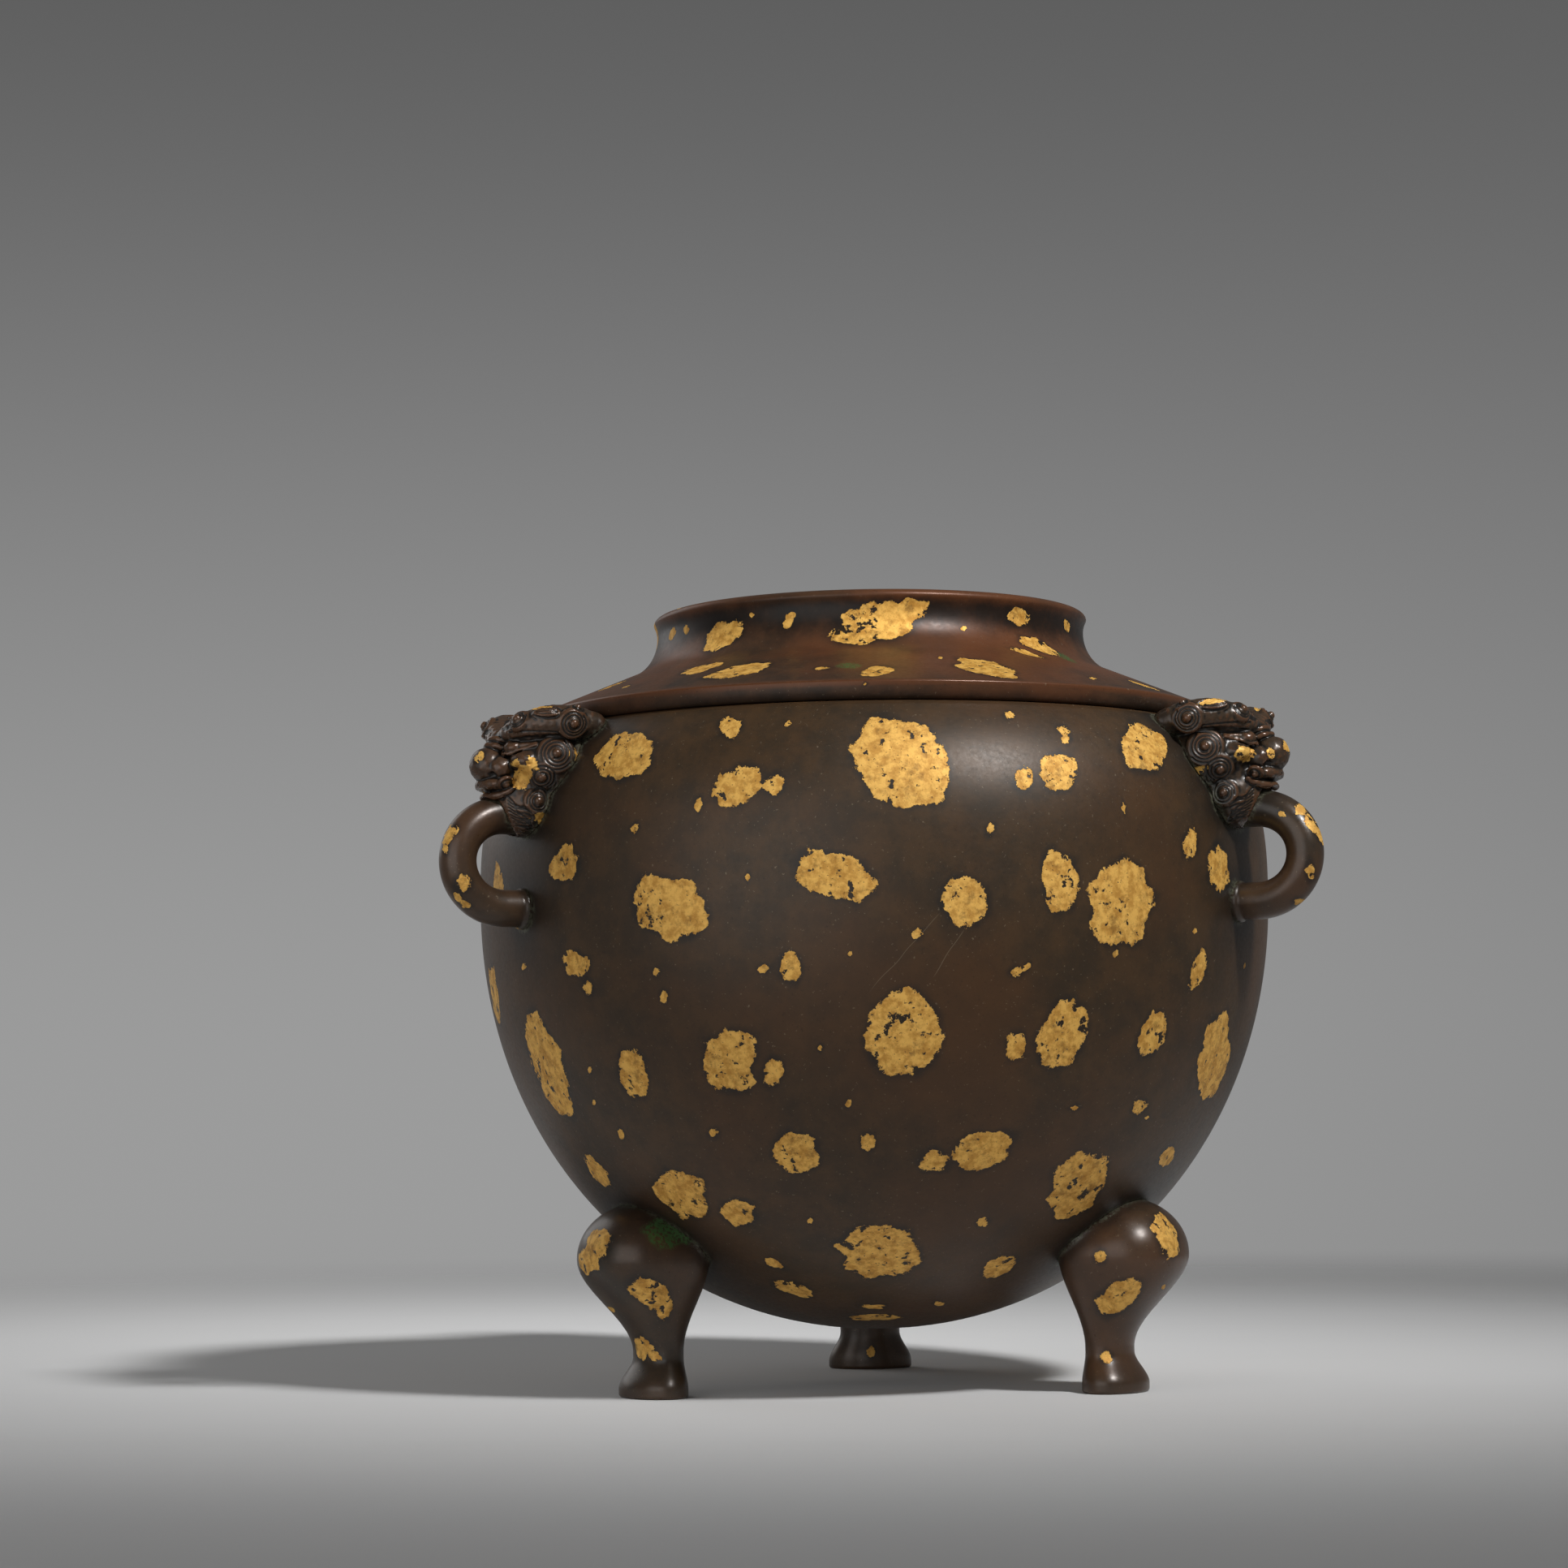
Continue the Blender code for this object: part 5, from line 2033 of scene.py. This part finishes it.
    def locks(self, clay: Clay) -> None:
        """Swell the head under each spiral lock and cut the spiral into it."""
        for curl in self.curls:
            middle, normal, sides = self.spot(clay, curl.near)
            axes = np.vstack([sides, normal])
            share = min(1.0, curl.radius / self.small_curl_mm)
            swell, boss = self.swell_mm * share, self.boss_mm * share
            half = (curl.radius * self.swell_spread, curl.radius * self.swell_spread, swell * 2)
            clay.lobe(Lobe(tuple(middle - normal * swell), half, 0.5), axes)
            turn = np.linspace(0.0, 2 * math.pi * curl.turns, int(self.curl_steps * curl.turns))
            inner = boss + self.groove_mm
            radius = inner + (curl.radius - inner) * turn / turn[-1]
            angle = curl.hand * turn + math.radians(curl.start)
            flat = self.laid(middle, sides, radius * np.cos(angle), radius * np.sin(angle))
            self.groove(clay, clay.snap(flat + swell * normal), self.groove_mm)
            centre = clay.snap(middle[None] + swell * normal)[0]
            clay.lobe(Lobe(tuple(centre), (boss, boss, boss * self.boss_flat), 0.2), axes)

    def leaf(self, clay: Clay) -> None:
        """Raise the leaf on the brow, and cut its rim and veins."""
        middle, normal, sides = self.spot(clay, self.leaf_near)
        long, short, _ = self.leaf_half
        sunk = tuple(middle - self.leaf_sunk_mm * normal)
        clay.lobe(Lobe(sunk, self.leaf_half, 0.4), np.vstack([sides, normal]))
        angle = np.linspace(0.0, 2 * math.pi, 33)
        wide, tall = self.leaf_rim
        rim = self.laid(middle, sides, wide * long * np.cos(angle), tall * short * np.sin(angle))
        self.groove(clay, clay.snap(rim), self.deep_groove_mm)
        run = np.linspace(-self.leaf_vein_run, self.leaf_vein_run, 9) * long
        for row in self.leaf_veins:
            vein = self.laid(middle, sides, run, short * row * (1 - (run / long) ** 2))
            self.groove(clay, clay.snap(vein + self.leaf_sunk_mm * normal), self.vein_groove_mm)

    def beard(self, clay: Clay) -> None:
        """Cut the fine lines that sweep back from the mouth over the jaw."""
        first, last = np.array(self.beard_first), np.array(self.beard_last)
        for share in np.linspace(0.0, 1.0, self.beard_lines):
            start, end = first * (1 - share) + last * share
            self.bowed(clay, start, end, self.beard_bow, self.beard_steps)

    def crown(self, clay: Clay) -> None:
        """Cut the hair lines over the crown and the fan of wrinkles at the front of the brow."""
        front, back = self.crown_run
        depth, pitch = self.crown_wave
        for across in np.linspace(*self.crown_across, self.crown_lines):
            run = np.linspace(front - across * self.crown_recede, back, self.crown_steps)
            top = np.full(self.crown_steps, self.crown_top)
            path = np.stack([run, across + depth * np.sin(run * pitch), top], 1)
            self.groove(clay, clay.snap(path), self.deep_groove_mm)
        first, sweep = np.array(self.wrinkle_first), np.array(self.wrinkle_sweep)
        for share in np.linspace(0.0, 1.0, self.wrinkle_lines):
            start, end = first + sweep * share
            self.bowed(clay, start, end, self.wrinkle_bow, self.wrinkle_steps)

    def mane(self, clay: Clay) -> None:
        """Cut the strands that wind from lock to lock, and the hem along the brow."""
        view = np.array(self.side_view)
        strand = self.smooth_line(np.array(self.strand), self.mane_steps)
        lines = [self.smooth_line(np.array(self.hem), self.mane_steps)]
        lines += [strand + index * np.array(self.strand_step) for index in range(self.strands)]
        for line in lines:
            self.groove(clay, clay.cast(line + self.standoff_mm * view, -view), self.mane_groove_mm)

    def ripple(self, clay: Clay) -> None:
        """Make the surface a little uneven, as a casting is."""
        places = clay.region(np.array(self.low), np.array(self.high))[1]
        out, across, up = np.moveaxis(places * (2 * math.pi / self.ripple_length_mm), -1, 0)
        first, second, third = self.ripple_skew
        waves = self.ripple_mm * np.sin(out + first * up) * np.sin(across + second * out)
        clay.values += waves * np.sin(up + third * across)

    def sculpt(self) -> tuple[Skin, Array]:
        """Model one mask in its own axes.

        Returns:
            Its skin in millimetres, and its relief: positive on ridges, negative in furrows.
        """
        clay = Clay(self.low, self.high, self.voxel_mm)
        for lobe in self.lobes:
            clay.lobe(lobe)
        for roll in self.rolls:
            clay.line(self.smooth_line(np.array(roll.points), self.roll_steps), roll.soft, roll.cut)
        self.ripple(clay)
        self.mane(clay)
        self.leaf(clay)
        self.locks(clay)
        self.beard(clay)
        self.crown(clay)
        whole, places = clay.region(np.array(self.low), np.array(self.high))
        radius, height = self.anchor / MM
        far = np.hypot(radius + places[..., 0], places[..., 1])
        level = (height + places[..., 2]) * MM
        wall = self.globe.radius_at(level) / MM
        wall = np.maximum(wall, np.where(level > self.globe.seam - MM, self.collar_radius / MM, 0.0))
        rod = np.hypot(places[..., 1], places[..., 2] + self.rod_drop_mm) - self.rod_mm - self.rod_gap_mm
        socket = np.maximum(rod, self.socket_out_mm - places[..., 0])
        clay.values[whole] = np.maximum.reduce([clay.values[whole], wall + self.seat_gap_mm - far, -socket])
        block = clay.mirrored()
        skin = self.thinned(block.skin())
        relief = block.softened(self.blur_passes).probe(skin.points)[0] / self.relief_mm
        return skin, relief - self.tarnish

    def thinned(self, skin: Skin) -> Skin:
        """The same skin with fewer faces where it is flat."""
        blank = link("mask_blank", skin.mesh("mask_blank"))
        thin = blank.modifiers.new("thin", "DECIMATE")
        thin.ratio = self.kept_faces
        return Skin.applied(blank)

    def build(self) -> tuple[list[Piece], Array]:
        """Model the masks and set them on the wall.

        Returns:
            One piece for each station, and the relief of their points.
        """
        skin, relief = self.sculpt()
        anchor = np.array([self.anchor[0], 0.0, self.anchor[1]])
        pieces = []
        for place, lean in zip(Station, self.lean):
            tilt = np.array([[1.0, 0.0, lean], [0.0, 1.0, 0.0], [0.0, 0.0, 1.0]])
            placed = Skin(skin.points @ tilt * MM + anchor, skin.quads, skin.triangles)
            pieces.append(Piece.make(f"mask_{place.number}", placed.turned(place.turn), math.pi))
        return pieces, relief

    def dress(self, pieces: list[Piece], relief: Array, gilder: Gilder) -> None:
        """Gild the masks, wear their ridges, darken their furrows with dirt and painted shade, and dirty
        their seats.

        Args:
            pieces: the masks
            relief: the relief of their points
            gilder: settles the splashes
        """
        for piece, splashes in zip(pieces, self.splashes):
            piece.gild(gilder, splashes, self.scattered, uneven=True)
            # The relief wears the ridges and darkens the furrows with dirt and painted shade.
            piece.carry(Field.RELIEF, relief)
            piece.carry(Field.JOINT, self.globe.gap(piece.points) / MM * self.grime_rate)


@dataclass
class Pins:
    """The domed pins driven from inside the vessel into the legs, masks and loops."""

    globe: GlobeForm = GlobeForm()
    diameter: float = 4.6 * MM
    head: float = 9.6 * MM
    head_height: float = 2.2 * MM
    seat: float = 0.8 * MM
    sides: int = 40
    dome_steps: int = 9
    slope_step: float = 0.1 * MM
    heights: tuple[tuple[str, float, float], ...] = (
        ("leg", 40.0 * MM, 9.0 * MM),
        ("mask", 159.0 * MM, 9.0 * MM),
        ("loop", 124.5 * MM, 5.0 * MM),
    )

    def pin(self, height: float, grip: float) -> Skin:
        """A pin at +X, square to the wall at a height.

        Args:
            height: where its axis meets the globe's outside
            grip: how far it reaches past the wall

        Returns:
            Its skin.
        """
        turn = np.linspace(0.0, math.pi / 2, self.dome_steps)
        dome = np.stack([self.head / 2 * np.sin(turn), -self.seat - self.head_height * np.cos(turn)], 1)
        shank = self.diameter / 2
        tip = self.globe.wall + grip
        outline = np.vstack([dome, [[shank, -self.seat], [shank, tip], [0.0, tip]]])
        skin = Turning.lathe(outline, self.sides, False)
        step = self.slope_step
        low, here, high = self.globe.radius_at(np.array([height - step, height, height + step]))
        rise = (high - low) / (2 * step)
        out, up = 1 / math.hypot(1, rise), -rise / math.hypot(1, rise)
        foot = np.array([here - self.globe.wall * out, 0.0, height - self.globe.wall * up])
        axes = np.array([[up, 0.0, -out], [0.0, 1.0, 0.0], [out, 0.0, up]])
        return Skin(skin.points @ axes + foot, skin.quads, skin.triangles)

    def build(self) -> list[Piece]:
        """Make a pin for every leg, mask and loop.

        Returns:
            The pins' pieces.
        """
        pieces = []
        for kind, height, grip in self.heights:
            pieces += Piece.around(f"{kind}_pin", self.pin(height, grip))
        return pieces


@dataclass(frozen=True)
class Lamp:
    """A soft square lamp: its place, what it faces, its side, its watts and its spread in degrees."""

    name: str
    place: Point
    aim: Point
    size: float
    power: float
    spread: float = 180.0

    def build(self) -> None:
        """Add the lamp to the scene."""
        data = bpy.data.lights.new(self.name, "AREA")
        data.shape = "SQUARE"
        data.size = self.size
        data.energy = self.power
        data.spread = math.radians(self.spread)
        lamp = link(self.name, data)
        lamp.location = self.place
        lamp.rotation_euler = (Vector(self.aim) - Vector(self.place)).to_track_quat("-Z", "Y").to_euler()


@dataclass
class Studio:
    """A plain pale floor that fades into a grey backdrop, and soft lamps."""

    floor_radius: float = 1.0
    floor_solid: float = 0.36
    floor_sides: int = 96
    floor_colour: Colour = (0.68, 0.68, 0.68)
    floor_fleck: Grain = Grain(60.0, 3.0)
    floor_fleck_shade: float = 0.97
    floor_roughness: float = 0.85
    horizon: Colour = (0.33, 0.33, 0.33)
    overhead: Colour = (0.105, 0.105, 0.105)
    underfoot: Colour = (0.20, 0.20, 0.20)
    right_band: Band = (-0.1, 0.6)
    right_shade: float = 0.6
    overhead_band: Band = (0.0, 0.34)
    underfoot_band: Band = (-0.02, -0.16)
    lamps: tuple[Lamp, ...] = (
        Lamp("key_lamp", (0.787, -0.972, 1.395), (-0.05, 0.18, 0.06), 0.22, 1.08, 30.0),
        Lamp("fill_lamp", (-0.95, -1.55, 0.22), (0.0, 0.0, 0.08), 1.8, 14.0),
        Lamp("back_lamp", (-1.25, 1.2, 0.95), (0.0, 0.0, 0.10), 1.2, 5.0),
    )

    def floor(self) -> None:
        """Lay the floor, solid under the vessel and fading away round it."""
        ring = self.floor_radius * circle(turns(self.floor_sides))
        points = np.vstack([np.zeros((1, 3)), np.column_stack([ring, np.zeros(self.floor_sides)])])
        here = np.arange(self.floor_sides)
        fan = np.stack([0 * here, 1 + here, 1 + (here + 1) % self.floor_sides], 1)
        mesh = Skin(points, np.zeros((0, 4), int), fan).mesh("floor")
        material, shader, inputs = Shader.principled("floor_paper")
        fleck = shader.noise(self.floor_fleck)
        shade = fleck.blend(self.floor_colour, tuple(c * self.floor_fleck_shade for c in self.floor_colour))
        shader.feed(inputs["Base Color"], shade)
        distance = shader.node("ShaderNodeVectorMath", {"operation": "LENGTH"}, {0: shader.place}, "Value")
        shader.feed(inputs["Alpha"], distance.step(self.floor_radius, self.floor_solid))
        inputs["Roughness"].default_value = self.floor_roughness
        mesh.materials.append(material)
        obj = link("floor", mesh)

    def backdrop(self) -> None:
        """Set the light that surrounds the floor: pale at the horizon, dark overhead and underfoot."""
        world = bpy.data.worlds.new("studio")
        world.use_nodes = True
        bpy.context.scene.world = world
        shader = Shader(world.node_tree)
        direction = shader.node("ShaderNodeTexCoord", output="Generated")
        height = shader.node("ShaderNodeSeparateXYZ", {}, {0: direction}, "Z")
        right = shader.node("ShaderNodeSeparateXYZ", {}, {0: direction}, "X")
        colour = (right.step(*self.right_band) * self.right_shade).blend(self.horizon, self.overhead)
        colour = height.step(*self.overhead_band).blend(colour, self.overhead)
        colour = height.step(*self.underfoot_band).blend(colour, self.underfoot)
        shader.feed(world.node_tree.nodes["Background"].inputs["Color"], colour)

    def build(self, camera: PhotoCamera) -> None:
        """Set up the floor, the light and the camera.

        Args:
            camera: the photograph's camera
        """
        self.floor()
        self.backdrop()
        for lamp in self.lamps:
            lamp.build()
        camera.build()
        bpy.context.scene.view_settings.view_transform = "Standard"


def main() -> None:
    """Build every piece, dress it and set up the studio."""
    logging.basicConfig(level=logging.INFO, format="%(name)s: %(message)s")
    camera = PhotoCamera()
    gilder = Gilder(camera)
    saddle = Saddle()
    legs, loops, masks, globe, collar = Legs(), Loops(), LionMasks(), Globe(), Collar()
    leg_pieces = legs.build(saddle)
    loop_pieces = loops.build(saddle)
    saddle.remove()
    mask_pieces, relief = masks.build()
    globe_piece, collar_piece = globe.build(), collar.build()
    globe.dress(globe_piece, gilder, leg_pieces + loop_pieces + mask_pieces)
    collar.dress(collar_piece, gilder)
    legs.dress(leg_pieces, gilder)
    masks.dress(mask_pieces, relief, gilder)
    loops.dress(loop_pieces, mask_pieces, gilder)
    coats = {
        GLOBE_PATINA: [globe_piece],
        COLLAR_PATINA: [collar_piece],
        CAST_PATINA: leg_pieces + loop_pieces + mask_pieces,
        PIN_PATINA: Pins().build(),
    }
    for patina, pieces in coats.items():
        material = patina.material()
        for piece in pieces:
            piece.coat(patina, material)
    Studio().build(camera)


if __name__ == "__main__":
    main()
